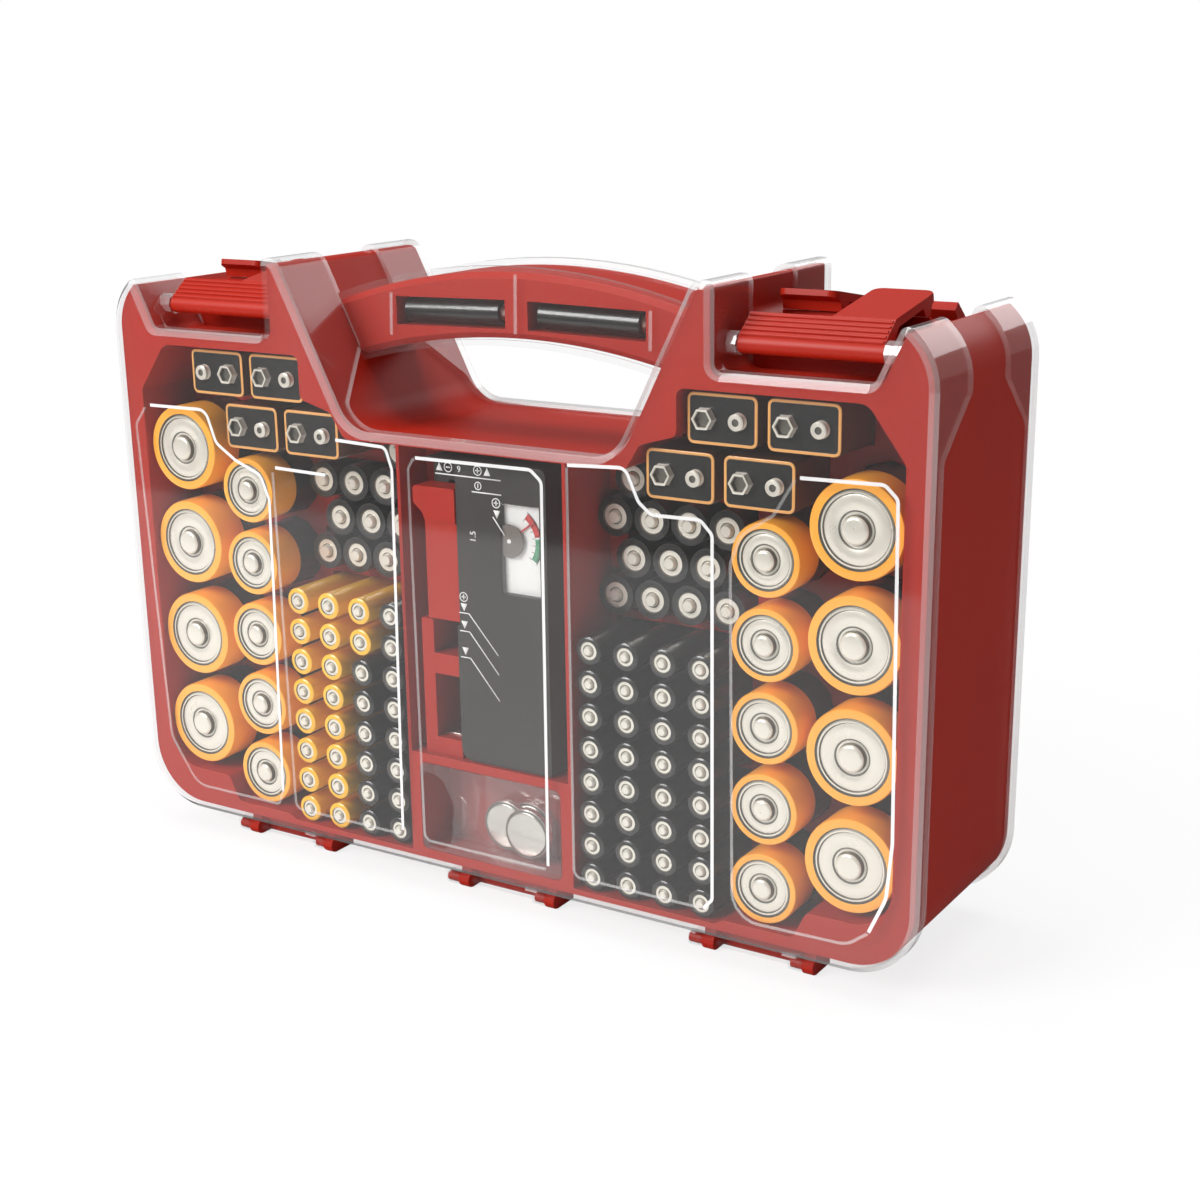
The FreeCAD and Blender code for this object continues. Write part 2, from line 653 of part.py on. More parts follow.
# ---------------------------------------------------------------- lids
# Each lid is a clear moulding: plate, shallow skirt, deep skirt round the shoulders,
# a band over the handle, six hinge rings and four latch bosses.
lid = new_body("lid_shell")
plate = slab(lid, "Pad", "lid_plate", "-lid_y", "-deep_y",
             rounded(symmetric(case_outline(S["notch_z"]))))
doc.recompute()
face_edges = []
for number, edge in enumerate(plate.Shape.Edges, start=1):
    if all(abs(vertex.Point.y + S["lid_y"]) < 0.01 for vertex in edge.Vertexes):
        face_edges.append(f"Edge{number}")
lid_edge = lid.newObject("PartDesign::Chamfer", "lid_edge")
lid_edge.Base = (plate, face_edges)
bind(lid_edge, Size="lid_bevel")
slab(lid, "Pocket", "lid_hollow", "-lid_in_y", "-deep_y + 1",
     rounded(symmetric(case_outline(S["notch_z"])), -S["lid_wall"]))
ramp = [
    (-S["skirt_y"], -1, 0),
    (S["lid_y"], -1, 0),
    (S["lid_y"], S["ramp_z1"], 0),
    (-S["deep_y"] - 1, S["ramp_z1"], 4),
    (-S["skirt_y"], S["ramp_z0"], 4),
]
across(lid, "Pocket", "lid_ramp", "-half_w - 1", "half_w + 1", rounded(ramp))
ledge = [
    (S["notch_in"] + 0.01, S["ramp_z0"], 0),
    (S["notch_out"] - 2, S["ramp_z0"], 0),
    (S["notch_out"], S["notch_z"] - 1, 0),
    (horn_wall(S["notch_z"] + 6) - 0.01, S["notch_z"] + 6, 0),
    (S["notch_in"] + 0.01, S["notch_z"] + 6, 0),
]
slab(lid, "Pocket", "notch_ledge", "-skirt_y", "-deep_y + 1", both_sides(ledge))
slab(lid, "Pad", "handle_cover", "-cover_y - lid_wall", "2 * lid_gap - handle_y",
     arch(S["cover_lap"], 1))
slab(lid, "Pocket", "handle_cover_hollow", "-cover_y", "1 - handle_y",
     arch(S["lid_gap"], 2))
lid.Tip = lid.Group[-1]

RING_R = "pin_r + 0.9"
FLAT_TO_CORNER = math.cos(math.pi / SIDES["well"])
lid_parts = [lid]
lid_bores = []
for place, centre in HINGES.items():
    for ring, (x0, x1) in (("first", (-25.1, -19.6)), ("second", (15.1, 20.5))):
        tag = f"lid_{place}_{ring}"
        lid_parts.append(prism(tag + "_ring", SIDES["bar"], "X", RING_R, f"{x1 - x0}",
                               f"{centre} + {x0}", "-pin_y", "ear_r"))
        lid_parts.append(box(tag + "_arm", f"{centre} + {x0}", f"{centre} + {x1}",
                             f"-pin_y - ({RING_R})", "-pin_y - 0.4", "ear_r",
                             "flange_z + 0.4"))
        lid_parts.append(box(tag + "_root", f"{centre} + {x0}", f"{centre} + {x1}",
                             "-skirt_y - 4", "-pin_y - 0.4", "flange_z - 1.6",
                             "flange_z + 0.4"))
        bore_x = x0 - 1 if ring == "first" else x0 + 0.4
        lid_bores.append(prism(tag + "_bore", SIDES["well"], "X",
                               f"(pin_r + pin_fit) / {FLAT_TO_CORNER}", "7.5",
                               f"{centre} + {bore_x}", "-pin_y", "ear_r"))
    lid_parts.append(prism(f"lid_{place}_rod", SIDES["nub"], "X", "stub_r", "29.6",
                           f"{centre} - 14.2", "-pin_y", "ear_r"))
LATCH_LOW = S["latch_x"] - S["latch_w"] / 2
LATCH_HIGH = S["latch_x"] + S["latch_w"] / 2
WALL_X = horn_wall(S["latch_z"])
BOSS_R = S["latch_r"] + 0.6
BOSS_LOW = S["latch_z"] - 1.5 * BOSS_R
BOSS_HIGH = S["latch_z"] + 1.5 * BOSS_R
for side, mirror in (("right", 1), ("left", -1)):
    for place, near, tip, root in (
        ("inner", LATCH_LOW - 0.4, LATCH_LOW + 3, S["notch_in"] - 1),
        ("outer", LATCH_HIGH + 0.4, LATCH_HIGH - 3, WALL_X + 1),
    ):
        end = root if place == "inner" else WALL_X + BOSS_R
        low, high = sorted((mirror * end, mirror * near))
        boss = prism(f"lid_{side}_{place}_boss", SIDES["nub"], "X", f"{BOSS_R}",
                     f"{high - low}", f"{low}", "-latch_y", "latch_z")
        if place == "outer":
            slant = new_body(f"lid_{side}_boss_end")
            slab(slant, "Pad", f"lid_{side}_boss_slant", "-latch_y - 6", "-latch_y + 6",
                 rounded([(mirror * x, z, 0) for x, z in (
                     (LATCH_HIGH, BOSS_LOW), (horn_wall(BOSS_LOW, 1), BOSS_LOW),
                     (horn_wall(BOSS_HIGH, 1), BOSS_HIGH), (LATCH_HIGH, BOSS_HIGH))]))
            boss = common(f"lid_{side}_outer_boss_cut", [boss, slant])
        lid_parts.append(boss)
        low, high = sorted((mirror * root, mirror * tip))
        lid_parts.append(prism(f"lid_{side}_{place}_stub", SIDES["well"], "X", "stub_r",
                               f"{high - low}", f"{low}", "-latch_y", "latch_z"))
lid_whole = fuse("lid_whole", lid_parts)
front_lid = cut("front_lid", lid_whole, group("lid_bores", lid_bores))
back_lid = half_turn("back_lid", front_lid)

# ---------------------------------------------------------------- latches
# Barrel on the lid's stubs, ridged slope, flap with a finger lip and a hook behind
# the catch rib. The section is drawn in the side view with the axis at the origin.
RIDGES = 4
barrel_back = -S["latch_y"]
axis_z = S["latch_z"]
slope_y = barrel_back + 6.5
slope_z = axis_z + 9.6
flap_z = axis_z + 13.4
slope_profile = [
    (barrel_back + 0.5, axis_z - 3, 0),
    (barrel_back + 3.3, axis_z + 0.4, 0),
    (slope_y + 2.2, slope_z - 2.4, 0),
    (slope_y + 0.2, slope_z, 0),
]
for k in range(RIDGES):
    u = 1 - (k + 0.5) / RIDGES
    y = barrel_back - 2.2 + u * (slope_y - barrel_back + 2.4)
    z = axis_z + 2.4 + u * (slope_z - axis_z - 2.4)
    slope_profile += [(y + 0.7, z + 1.0, 0), (y - 0.5, z + 0.2, 0)]
slope_profile += [(barrel_back - 2.4, axis_z + 2.2, 0)]
flap_profile = [
    (slope_y - 2, slope_z - 3, 0),
    (slope_y + 2.4, slope_z - 2.4, 0),
    (-4, flap_z - S["latch_t"], 0),
    (-S["catch_t"] / 2 - 1.1, axis_z + S["hook_low"], 0),
    (S["catch_t"] / 2 + 1.6, axis_z + S["hook_low"], 0),
    (S["hook_t"], flap_z - S["latch_t"] + 0.6, 0),
    (S["hook_t"] + 4.2, flap_z + 0.2, 0),
    (S["hook_t"] + 3.8, flap_z + 2.2, 0),
    (-1, flap_z + 0.9, 0),
    (slope_y, slope_z + 0.4, 0),
]


def latch(label, mid, tab0, tab1):
    """A latch whose barrel is centred on x = mid and whose tab spans tab0 to tab1."""
    shell = new_body(label + "_shell")
    half = S["latch_w"] / 2
    across(shell, "Pad", label + "_slope", f"{mid} - latch_w / 2", f"{mid} + latch_w / 2",
           rounded(slope_profile))
    across(shell, "Pad", label + "_flap", f"{tab0}", f"{tab1}", rounded(flap_profile))
    shell.Tip = shell.Group[-1]
    barrel = prism(label + "_barrel", SIDES["can"], "X", "latch_r", "latch_w",
                   f"{mid - half}", "-latch_y", "latch_z")
    whole = fuse(label + "_whole", [shell, barrel])
    bores = [
        rod(label + "_bore_in", "X", "stub_r + pin_fit", "4.5", f"{mid - half - 1}",
            "-latch_y", "latch_z"),
        rod(label + "_bore_out", "X", "stub_r + pin_fit", "4.5", f"{mid + half - 3.5}",
            "-latch_y", "latch_z"),
    ]
    return cut(label, whole, group(label + "_bores", bores))


TAB = S["tab_w"]
latch_front_right = latch("latch_front_right", S["latch_x"], LATCH_HIGH - TAB, LATCH_HIGH)
latch_front_left = latch("latch_front_left", -S["latch_x"], -LATCH_LOW - TAB, -LATCH_LOW)
latch_back_left = half_turn("latch_back_left", latch_front_right)
latch_back_right = half_turn("latch_back_right", latch_front_left)

# ---------------------------------------------------------------- tester
tester = new_body("tester_housing")
slab(tester, "Pad", "tester_block", "tester_y", "tester_y + tester_t", rounded([
    (S["slot_x"], S["tester_z0"], 5),
    (TESTER_HALF, S["tester_z0"], 1),
    (TESTER_HALF, S["tester_z1"], 3),
    (-TESTER_HALF, S["tester_z1"], 3),
    (-TESTER_HALF, S["slot_z"] - S["slot_t"], 0),
    (S["slot_x"], S["slot_z"] - S["slot_t"], 0),
]))
TRACK_X = -11.7
slab(tester, "Pocket", "slider_track", "tester_y - 1", "tester_y + slot_d",
     rounded(rect(-TESTER_HALF - 1, TRACK_X, S["slot_z"] - S["slot_t"] - 1,
                  S["slider_top"] + 10.6)))
TONGUE_X = -19.5
TONGUE_HALF = 3.0
STEM_HALF = 1.4
PLAY = S["slider_play"]
stem_cut = rect(TONGUE_X - STEM_HALF - PLAY, TONGUE_X + STEM_HALF + PLAY,
                S["slot_z"], S["slider_top"] + 1)
tongue_cut = rect(TONGUE_X - TONGUE_HALF - PLAY, TONGUE_X + TONGUE_HALF + PLAY,
                  S["slot_z"], S["slider_top"] + 1)
slab(tester, "Pocket", "stem_groove", "tester_y + slot_d - 1", "tester_y + slot_d + 2",
     rounded(stem_cut))
slab(tester, "Pocket", "tongue_groove", "tester_y + slot_d + 2",
     "tester_y + slot_d + 4.4", rounded(tongue_cut))
meter_cut = rect(S["meter_x0"], S["meter_x1"], S["meter_z0"], S["meter_z1"])
slab(tester, "Pocket", "meter_recess", "tester_y - 1", "tester_y + meter_d",
     rounded(meter_cut))

slider = new_body("tester_slider")
SHANK_X = TRACK_X - PLAY
slab(slider, "Pad", "slider_shank", "tester_y + 0.4", "tester_y + slot_d - slider_play",
     rounded(rect(-26.5, SHANK_X, S["slot_z"] - S["slot_t"] + 0.4, S["slider_top"] - 2)))
HEAD_Z = S["slider_top"] - S["slider_head"]
slab(slider, "Pad", "slider_head", "tester_y - 0.6", "tester_y + slot_d - slider_play",
     rounded([
         (-26.5, HEAD_Z - 4, 2),
         (SHANK_X, HEAD_Z - 4, 0),
         (SHANK_X, S["slider_top"], 0.8),
         (-TESTER_HALF - S["slider_out"], S["slider_top"], 1.5),
         (-TESTER_HALF - S["slider_out"], HEAD_Z + 2.5, 1.5),
         (-26.5, HEAD_Z - 1.5, 2),
     ]))
stem = rect(TONGUE_X - STEM_HALF, TONGUE_X + STEM_HALF, S["slot_z"], HEAD_Z)
slab(slider, "Pad", "slider_stem", "tester_y + slot_d - 1", "tester_y + slot_d + 3",
     rounded(stem))
tongue = rect(TONGUE_X - TONGUE_HALF, TONGUE_X + TONGUE_HALF, S["slot_z"], HEAD_Z)
slab(slider, "Pad", "slider_tongue", "tester_y + slot_d + 2 + slider_play",
     "tester_y + slot_d + 4.4 - slider_play", rounded(tongue))

dial_plate = box("dial_plate", "meter_x0 + meter_fit", "meter_x1 - meter_fit",
                 "tester_y + meter_d - 0.5", "tester_y + meter_d",
                 "meter_z0 + meter_fit", "meter_z1 - meter_fit")
PIVOT_IN = "meter_x0 + 3"
dial_post = rod("dial_post", "Y", "0.8", "1.9", PIVOT_IN, "tester_y + meter_d - 2.2",
                "pivot_z")
meter_dial = fuse("meter_dial", [dial_plate, dial_post])
needle_hub = prism("needle_hub", SIDES["bar"], "Y", "2", "0.6", PIVOT_IN,
                   "tester_y + meter_d - 1.4", "pivot_z")
needle_blade = doc.addObject("Part::Box", "needle_blade")
needle_blade.Label = "needle_blade"
needle_blade.Placement.Rotation = FreeCAD.Rotation(V(0, 1, 0), -36)
bind(needle_blade, Placement__Base__x=PIVOT_IN,
     Placement__Base__y="tester_y + meter_d - 1.4", Placement__Base__z="pivot_z",
     Length="needle_r", Width="0.4", Height="0.6")
needle_whole = fuse("needle_whole", [needle_hub, needle_blade])
meter_needle = cut("meter_needle", needle_whole,
                   rod("needle_bore", "Y", "0.8 + pin_fit", "3", PIVOT_IN,
                       "tester_y + meter_d - 3", "pivot_z"))
cover_disc = prism("cover_disc", SIDES["coin"], "Y", "pivot_r", "0.5", PIVOT_IN,
                   "tester_y + meter_d - 2.1", "pivot_z")
cover_trim = box("cover_trim", "meter_x0 - 10", "meter_x0 + meter_fit",
                 "tester_y - 1", "tester_y + meter_d", "meter_z0", "meter_z1")
cover_bore = rod("cover_bore", "Y", "0.8", "3", PIVOT_IN, "tester_y + meter_d - 3",
                 "pivot_z")
meter_pivot_cover = cut("meter_pivot_cover", cover_disc,
                        group("cover_cuts", [cover_trim, cover_bore]))
meter_window = box("meter_window", "meter_x0 + meter_fit", "meter_x1 - meter_fit",
                   "tester_y", "tester_y + 0.8", "meter_z0 + meter_fit",
                   "meter_z1 - meter_fit")
test_contact = box("test_contact", "-24", "-17", "-35", "tester_y + tester_t - 1", "62",
                   "62.6")

# ---------------------------------------------------------------- coin drawer
drawer = new_body("coin_drawer")
DRAWER_X = S["drawer_x"] - S["cell_gap"]
DRAWER_Z0 = S["drawer_z0"] + S["cell_gap"]
DRAWER_Z1 = S["drawer_z1"] - S["cell_gap"]
slab(drawer, "Pad", "drawer_block", "-rim_y", "drawer_y - cell_gap",
     rounded(rect(-DRAWER_X, DRAWER_X, DRAWER_Z0, DRAWER_Z1, 2.7)))
WALL = S["drawer_wall"]
slab(drawer, "Pocket", "drawer_coins", "-rim_y + drawer_wall",
     "drawer_y - cell_gap - drawer_wall",
     rounded(rect(-14, DRAWER_X - WALL, DRAWER_Z0 + WALL, DRAWER_Z1 + 1, 0)))
slab(drawer, "Pocket", "thumb_recess", "-rim_y - 1", "drawer_y - cell_gap - drawer_wall",
     rounded([
         (-DRAWER_X + WALL, DRAWER_Z0 + WALL, 4),
         (-19, DRAWER_Z0 + WALL, 6),
         (-16.5, DRAWER_Z1 - 15, 8),
         (-22, DRAWER_Z1 - 5, 6),
         (-DRAWER_X + WALL, DRAWER_Z1 - 3, 2),
     ]))
coins = []
for k in range(3):
    coins.append(prism(f"coin_{k + 1}", SIDES["coin"], "Y", "coin_r", "coin_t",
                     f"{8 - k * 8.5}" if k == 1 else f"{8.5 + k * 1.5}",
                     f"drawer_y - cell_gap - drawer_wall - coin_t - {k} * (coin_t + 0.05)",
                     f"{DRAWER_Z0 + WALL} + coin_r + 0.3"))
coin_cells = group("coin_cells", coins)

# ---------------------------------------------------------------- cells
D_NUB = 4.75
C_NUB = 3.75
NUB_H = 1.5


def can(label, radius, length, nub_r, x, y, z):
    """A large cell lying along +Y, its raised contact to the front."""
    shell = prism(label + "_can", SIDES["can"], "Y", radius, length, f"{x}", y, f"{z}")
    nub = prism(label + "_nub", SIDES["nub"], "Y", f"{nub_r}", f"{NUB_H + 1}", f"{x}",
                f"{y} - {NUB_H}", f"{z}")
    return fuse(label, [shell, nub])


d_cells = group("d_cells", [
    can(f"d_cell_{k + 1}_{side}", "d_r", "d_len", D_NUB, sign * S["d_x"], "d_y", z)
    for k, z in enumerate(D_ROWS) for side, sign in (("left", -1), ("right", 1))
])
c_cells = group("c_cells", [
    can(f"c_cell_{k + 1}_{side}", "c_r", "c_len", C_NUB, sign * S["c_x"], "c_y", z)
    for k, z in enumerate(C_ROWS) for side, sign in (("left", -1), ("right", 1))
])
blocks = []
terminals = []
for k, (x, z) in enumerate(NINE_VOLT, start=1):
    blocks.append(box(f"nine_volt_{k}", f"{x} - nv_w / 2", f"{x} + nv_w / 2", "nv_y",
                      "nv_y + nv_len", f"{z} - nv_t / 2", f"{z} + nv_t / 2"))
    for terminal, sign, radius, sides in (("socket", "-", "4.4", 6), ("stud", "+", "3", 8)):
        terminals.append(prism(f"{terminal}_{k}", sides, "Y", radius, "nv_stud_h",
                               f"{x} {sign} nv_stud / 2", "nv_y - nv_stud_h", f"{z}"))
nine_volt_cells = group("nine_volt_cells", blocks)
nine_volt_terminals = group("nine_volt_terminals", terminals)

front_aa = {"left": [], "right": []}
front_aaa = {"left": [], "right": []}
for side, sign in (("left", -1), ("right", 1)):
    for k, (first, count) in enumerate(AA_ROWS):
        z = S["aa_z"] + k * S["aa_pitch_z"]
        for i in range(count):
            x = sign * (S["aa_x"] + (first + i) * S["aa_pitch_x"])
            front_aa[side].append(prism(f"aa_{side}_{k + 1}_{i + 1}", SIDES["aa"], "Y",
                                        "aa_r", "aa_len", f"{x}", "aa_y", f"{z}"))
    for k in range(AAA_COUNT):
        z = S["aaa_z"] + k * S["aaa_pitch_z"]
        for i in range(AAA_COLUMNS):
            x = sign * (S["aaa_x"] + i * S["aaa_pitch_x"])
            front_aaa[side].append(prism(f"aaa_{side}_{k + 1}_{i + 1}", SIDES["aaa"],
                                         "Y", "aaa_r", "aaa_len", f"{x}", "aaa_y",
                                         f"{z}"))
aa_cells_left = group("aa_cells_left", front_aa["left"])
aa_cells_right = group("aa_cells_right", front_aa["right"])
aaa_cells_left = group("aaa_cells_left", front_aaa["left"])
aaa_cells_right = group("aaa_cells_right", front_aaa["right"])
aa_cells_back = group("aa_cells_back", [
    prism(f"aa_back_{k}", SIDES["aa"], "Y", "aa_r", "aa_len", f"{x}", "rear_y - aa_len",
          f"{z}")
    for k, (x, z) in enumerate(rear_cells(), start=1)
])

handle_cells = []
for side, sign in (("left", -1), ("right", 1)):
    cell = prism(f"handle_cell_{side}", SIDES["bar"], "X", "aaa_r - 0.4", "aaa_len",
                 "0", "0", "0")
    for axis in "xyz":
        cell.setExpression(f"Placement.Base.{axis}", None)
    lean = FreeCAD.Rotation(V(0, 1, 0), 90 + sign * HANDLE_CELL_TILT)
    along = lean.multVec(V(0, 0, 1))
    start = V(sign * HANDLE_CELL_X, -10, HANDLE_CELL_Z) - along * (S["aaa_len"] / 2)
    cell.Placement = FreeCAD.Placement(start, lean)
    handle_cells.append(cell)
handle_cells = group("handle_cells", handle_cells)

# ---------------------------------------------------------------- output
NODES = [
    body, bay, handle, hinge_brackets_front, hinge_brackets_back, front_lid, back_lid,
    latch_front_left, latch_front_right, latch_back_left, latch_back_right,
    tester, slider, meter_dial, meter_needle, meter_pivot_cover, meter_window,
    test_contact, drawer, coin_cells,
    d_cells, c_cells, nine_volt_cells, nine_volt_terminals,
    aa_cells_left, aa_cells_right, aaa_cells_left, aaa_cells_right, aa_cells_back,
    handle_cells,
]
doc.recompute()
faulty = [item.Label for item in doc.Objects
          if "Invalid" in item.State or "Error" in item.State]
faulty += [item.Label for item in NODES if not item.Shape.isValid()]
if faulty:
    raise RuntimeError("faulty objects: " + ", ".join(faulty))
for item in NODES:
    item.Shape.exportStep(f"parts/{item.Label}.step")
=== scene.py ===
import math

import bmesh
import bpy
import numpy as np
from mathutils import Matrix


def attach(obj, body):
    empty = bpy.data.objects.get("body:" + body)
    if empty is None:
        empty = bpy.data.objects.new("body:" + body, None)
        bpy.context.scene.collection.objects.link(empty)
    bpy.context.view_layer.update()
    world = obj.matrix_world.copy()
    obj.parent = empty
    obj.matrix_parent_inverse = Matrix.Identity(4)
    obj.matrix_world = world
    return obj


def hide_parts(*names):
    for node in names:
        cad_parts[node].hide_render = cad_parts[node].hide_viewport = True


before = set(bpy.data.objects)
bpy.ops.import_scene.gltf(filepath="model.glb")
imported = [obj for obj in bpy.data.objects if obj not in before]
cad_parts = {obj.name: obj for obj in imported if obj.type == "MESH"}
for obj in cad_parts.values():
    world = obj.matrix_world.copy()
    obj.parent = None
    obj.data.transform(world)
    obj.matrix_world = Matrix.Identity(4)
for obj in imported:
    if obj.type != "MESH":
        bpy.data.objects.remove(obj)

scene = bpy.context.scene
scene.view_settings.view_transform = "Standard"
# A ray passes two lids and the drawer on its way in, and as many on its way to a lamp.
scene.cycles.transparent_max_bounces = 24
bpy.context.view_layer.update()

# ------------------------------------------------------------------ case body
# The case is one large injection moulding in red ABS: a rim all round, decks with
# wells for the cells, a bay for the tester and the handle arch. It came off the tool
# with softly rounded edges and a fine, slightly uneven gloss.

MM = 0.001


def linear(code):
    """Linear colour of an sRGB hex code: each channel through the sRGB curve."""
    values = [int(code[k:k + 2], 16) / 255 for k in (1, 3, 5)]
    curve = [v / 12.92 if v <= 0.04045 else ((v + 0.055) / 1.055) ** 2.4 for v in values]
    return (*curve, 1.0)


def add(tree, kind, settings=None, **inputs):
    """Adds a node; inputs are socket values, or (node, output name) pairs to link."""
    node = tree.nodes.new(kind)
    for name, value in (settings or {}).items():
        setattr(node, name, value)
    for name, value in inputs.items():
        key = int(name[1:]) if name[0] == "i" and name[1:].isdigit() else name.replace("_", " ")
        if isinstance(value, tuple) and value and isinstance(value[0], bpy.types.Node):
            tree.links.new(value[0].outputs[value[1]], node.inputs[key])
        else:
            node.inputs[key].default_value = value
    return node


def fresh(name):
    """An empty node material; returns it with its tree and its output node."""
    material = bpy.data.materials.new(name)
    material.use_nodes = True
    tree = material.node_tree
    tree.nodes.clear()
    return material, tree, add(tree, "ShaderNodeOutputMaterial")


def per_metre(size_mm):
    """Scale of a pattern whose features have this size: how many fit in a metre."""
    return 1 / (size_mm * MM)


def moulded(name, colour, roughness, grain_mm, grain_depth_mm, tone=0.06):
    """Injection-moulded ABS: one colour through, slow tone drift and fine tool grain.

    The drift stands for flow and handling, over some 45 mm; the grain is the
    spark-eroded tool face, drawn coarser than the real 0.2 mm so that it shows.
    """
    material, tree, out = fresh(name)
    place = add(tree, "ShaderNodeTexCoord")
    drift = add(tree, "ShaderNodeTexNoise", Vector=(place, "Object"),
                Scale=per_metre(45.5), Detail=3.0)
    shade = add(tree, "ShaderNodeMapRange", Value=(drift, "Fac"),
                To_Min=1.0 - tone, To_Max=1.0 + tone)
    tint = add(tree, "ShaderNodeHueSaturation", Value=(shade, "Result"),
               Color=linear(colour))
    rough = add(tree, "ShaderNodeMapRange", Value=(drift, "Fac"),
                To_Min=roughness - 0.05, To_Max=roughness + 0.07)
    grain = add(tree, "ShaderNodeTexNoise", Vector=(place, "Object"),
                Scale=per_metre(grain_mm), Detail=2.0)
    bump = add(tree, "ShaderNodeBump", Height=(grain, "Fac"), Strength=0.25,
               Distance=grain_depth_mm * MM)
    shader = add(tree, "ShaderNodeBsdfPrincipled", Base_Color=(tint, "Color"),
                 Roughness=(rough, "Result"), Normal=(bump, "Normal"), IOR=1.5,
                 Specular_IOR_Level=0.25)
    tree.links.new(shader.outputs["BSDF"], out.inputs["Surface"])
    return material


# Above this number of corners a face is cut up; nearer than this, in metres, two points
# are one; below the first angle, in degrees, two faces are flat, and above the second
# their edge is rounded; the normals are weighted by this much towards the larger face.
MANY_CORNERS = 60
SAME_POINT = 1e-6
FLAT_ANGLE = 0.5
EDGE_ANGLE = 28.0
FACE_WEIGHT = 60


def softened(node, name, width_mm, body, material, segments=2, rim=None):
    """A copy of a solid, merged into clean faces, with its sharp edges rounded over.

    Triangles are joined into flat faces, then every edge that turns by more than the
    edge angle gets a small round of the given width, as a tool leaves it. Faces of
    many corners are cut into convex ones, which triangulate without folds. A rim is a
    second material and the test that says which faces it takes.
    """
    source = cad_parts[node].data
    mesh = bpy.data.meshes.new(name)
    work = bmesh.new()
    work.from_mesh(source)
    bmesh.ops.remove_doubles(work, verts=work.verts, dist=SAME_POINT)
    bmesh.ops.dissolve_limit(work, angle_limit=math.radians(FLAT_ANGLE),
                             verts=work.verts, edges=work.edges, delimit=set())
    wide = [face for face in work.faces if len(face.verts) > MANY_CORNERS]
    bmesh.ops.connect_verts_concave(work, faces=wide)
    work.to_mesh(mesh)
    work.free()
    mesh.materials.clear()
    mesh.materials.append(material)
    index = np.zeros(len(mesh.polygons), dtype=np.int32)
    if rim:
        mesh.materials.append(rim[0])
        normals = np.empty(len(index) * 3)
        centres = np.empty(len(index) * 3)
        mesh.polygons.foreach_get("normal", normals)
        mesh.polygons.foreach_get("center", centres)
        index[rim[1](normals.reshape(-1, 3), centres.reshape(-1, 3) / MM)] = 1
    mesh.polygons.foreach_set("material_index", index)
    mesh.shade_smooth()
    item = bpy.data.objects.new(name, mesh)
    scene.collection.objects.link(item)
    bevel = item.modifiers.new("edge", "BEVEL")
    bevel.width = width_mm * MM
    bevel.segments = segments
    bevel.limit_method = "ANGLE"
    bevel.angle_limit = math.radians(EDGE_ANGLE)
    level = item.modifiers.new("level", "WEIGHTED_NORMAL")
    level.weight = FACE_WEIGHT
    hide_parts(node)
    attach(item, body)
    return item


red_abs = moulded("moulded_abs_red", "#A82110", 0.4, 0.5, 0.01)
for node, width in (("case_body", 0.5), ("middle_bay", 0.4), ("handle_arch", 0.6),
                    ("hinge_brackets_front", 0.3), ("hinge_brackets_back", 0.3)):
    softened(node, node + "_moulding", width, "case", red_abs)

# ------------------------------------------------------------------ lids
# Each lid is a thin clear polystyrene moulding, 1.8 mm thick, with a bevelled face
# edge, a deep skirt round the shoulders and a band over the handle. Polystyrene is
# water clear with bright edges and a faint haze of handling scratches.


def clear(name, veil_low, veil_high, roughness=0.06, shine=1.3):
    """Clear moulded polystyrene: see-through, a Fresnel gloss on the outer side of each
    wall, and a white veil that varies over some 110 mm: a thin haze of handling marks
    when faint, a painted highlight when strong."""
    material, tree, out = fresh(name)
    place = add(tree, "ShaderNodeTexCoord")
    cloud = add(tree, "ShaderNodeTexNoise", Vector=(place, "Object"),
                Scale=per_metre(111), Detail=4.0)
    haze_and_highlight = add(tree, "ShaderNodeMapRange", Value=(cloud, "Fac"), From_Min=0.3,
               From_Max=0.7, To_Min=veil_low, To_Max=veil_high)
    through = add(tree, "ShaderNodeBsdfTransparent", Color=(0.985, 0.985, 0.985, 1.0))
    veil = add(tree, "ShaderNodeBsdfDiffuse", Color=linear("#FFFFFF"))
    sheet = add(tree, "ShaderNodeMixShader", Fac=(haze_and_highlight, "Result"), i1=(through, "BSDF"),
                i2=(veil, "BSDF"))
    mirror = add(tree, "ShaderNodeBsdfGlossy", Color=linear("#FFFFFF"),
                 Roughness=roughness)
    gloss = add(tree, "ShaderNodeFresnel", IOR=1.55)
    side = add(tree, "ShaderNodeNewGeometry")
    outside = add(tree, "ShaderNodeMapRange", Value=(side, "Backfacing"), To_Min=shine,
                  To_Max=0.0)
    lit = add(tree, "ShaderNodeMath", {"operation": "MULTIPLY", "use_clamp": True},
              i0=(gloss, "Fac"), i1=(outside, "Result"))
    skin = add(tree, "ShaderNodeMixShader", Fac=(lit, "Value"), i1=(sheet, "Shader"),
               i2=(mirror, "BSDF"))
    tree.links.new(skin.outputs["Shader"], out.inputs["Surface"])
    return material


# Millimetres, apart from the slope of a bevelled face, which has no unit.
HINGE_TOP = 8.0
BEVEL_SLOPE = (0.35, 0.93)
SKIRT_ENDS = (16.45, 43.5)
COVER_BAND = (17.9, 18.5)


def is_rim(normals, centres):
    """Bevelled faces and the end faces of the skirts, where light leaves the wall; they take
    the painted highlight.

    The slope is how much of the normal lies along y; the reach is the distance of the
    face from the middle plane, and the face of the handle cover is left out by it.
    """
    slope, reach = np.abs(normals[:, 1]), np.abs(centres[:, 1])
    bevel = (slope > BEVEL_SLOPE[0]) & (slope < BEVEL_SLOPE[1])
    ends = (slope > BEVEL_SLOPE[1]) & (reach > SKIRT_ENDS[0]) & (reach < SKIRT_ENDS[1])
    cover = (reach > COVER_BAND[0]) & (reach < COVER_BAND[1])
    return (bevel | (ends & ~cover)) & (centres[:, 2] > HINGE_TOP)


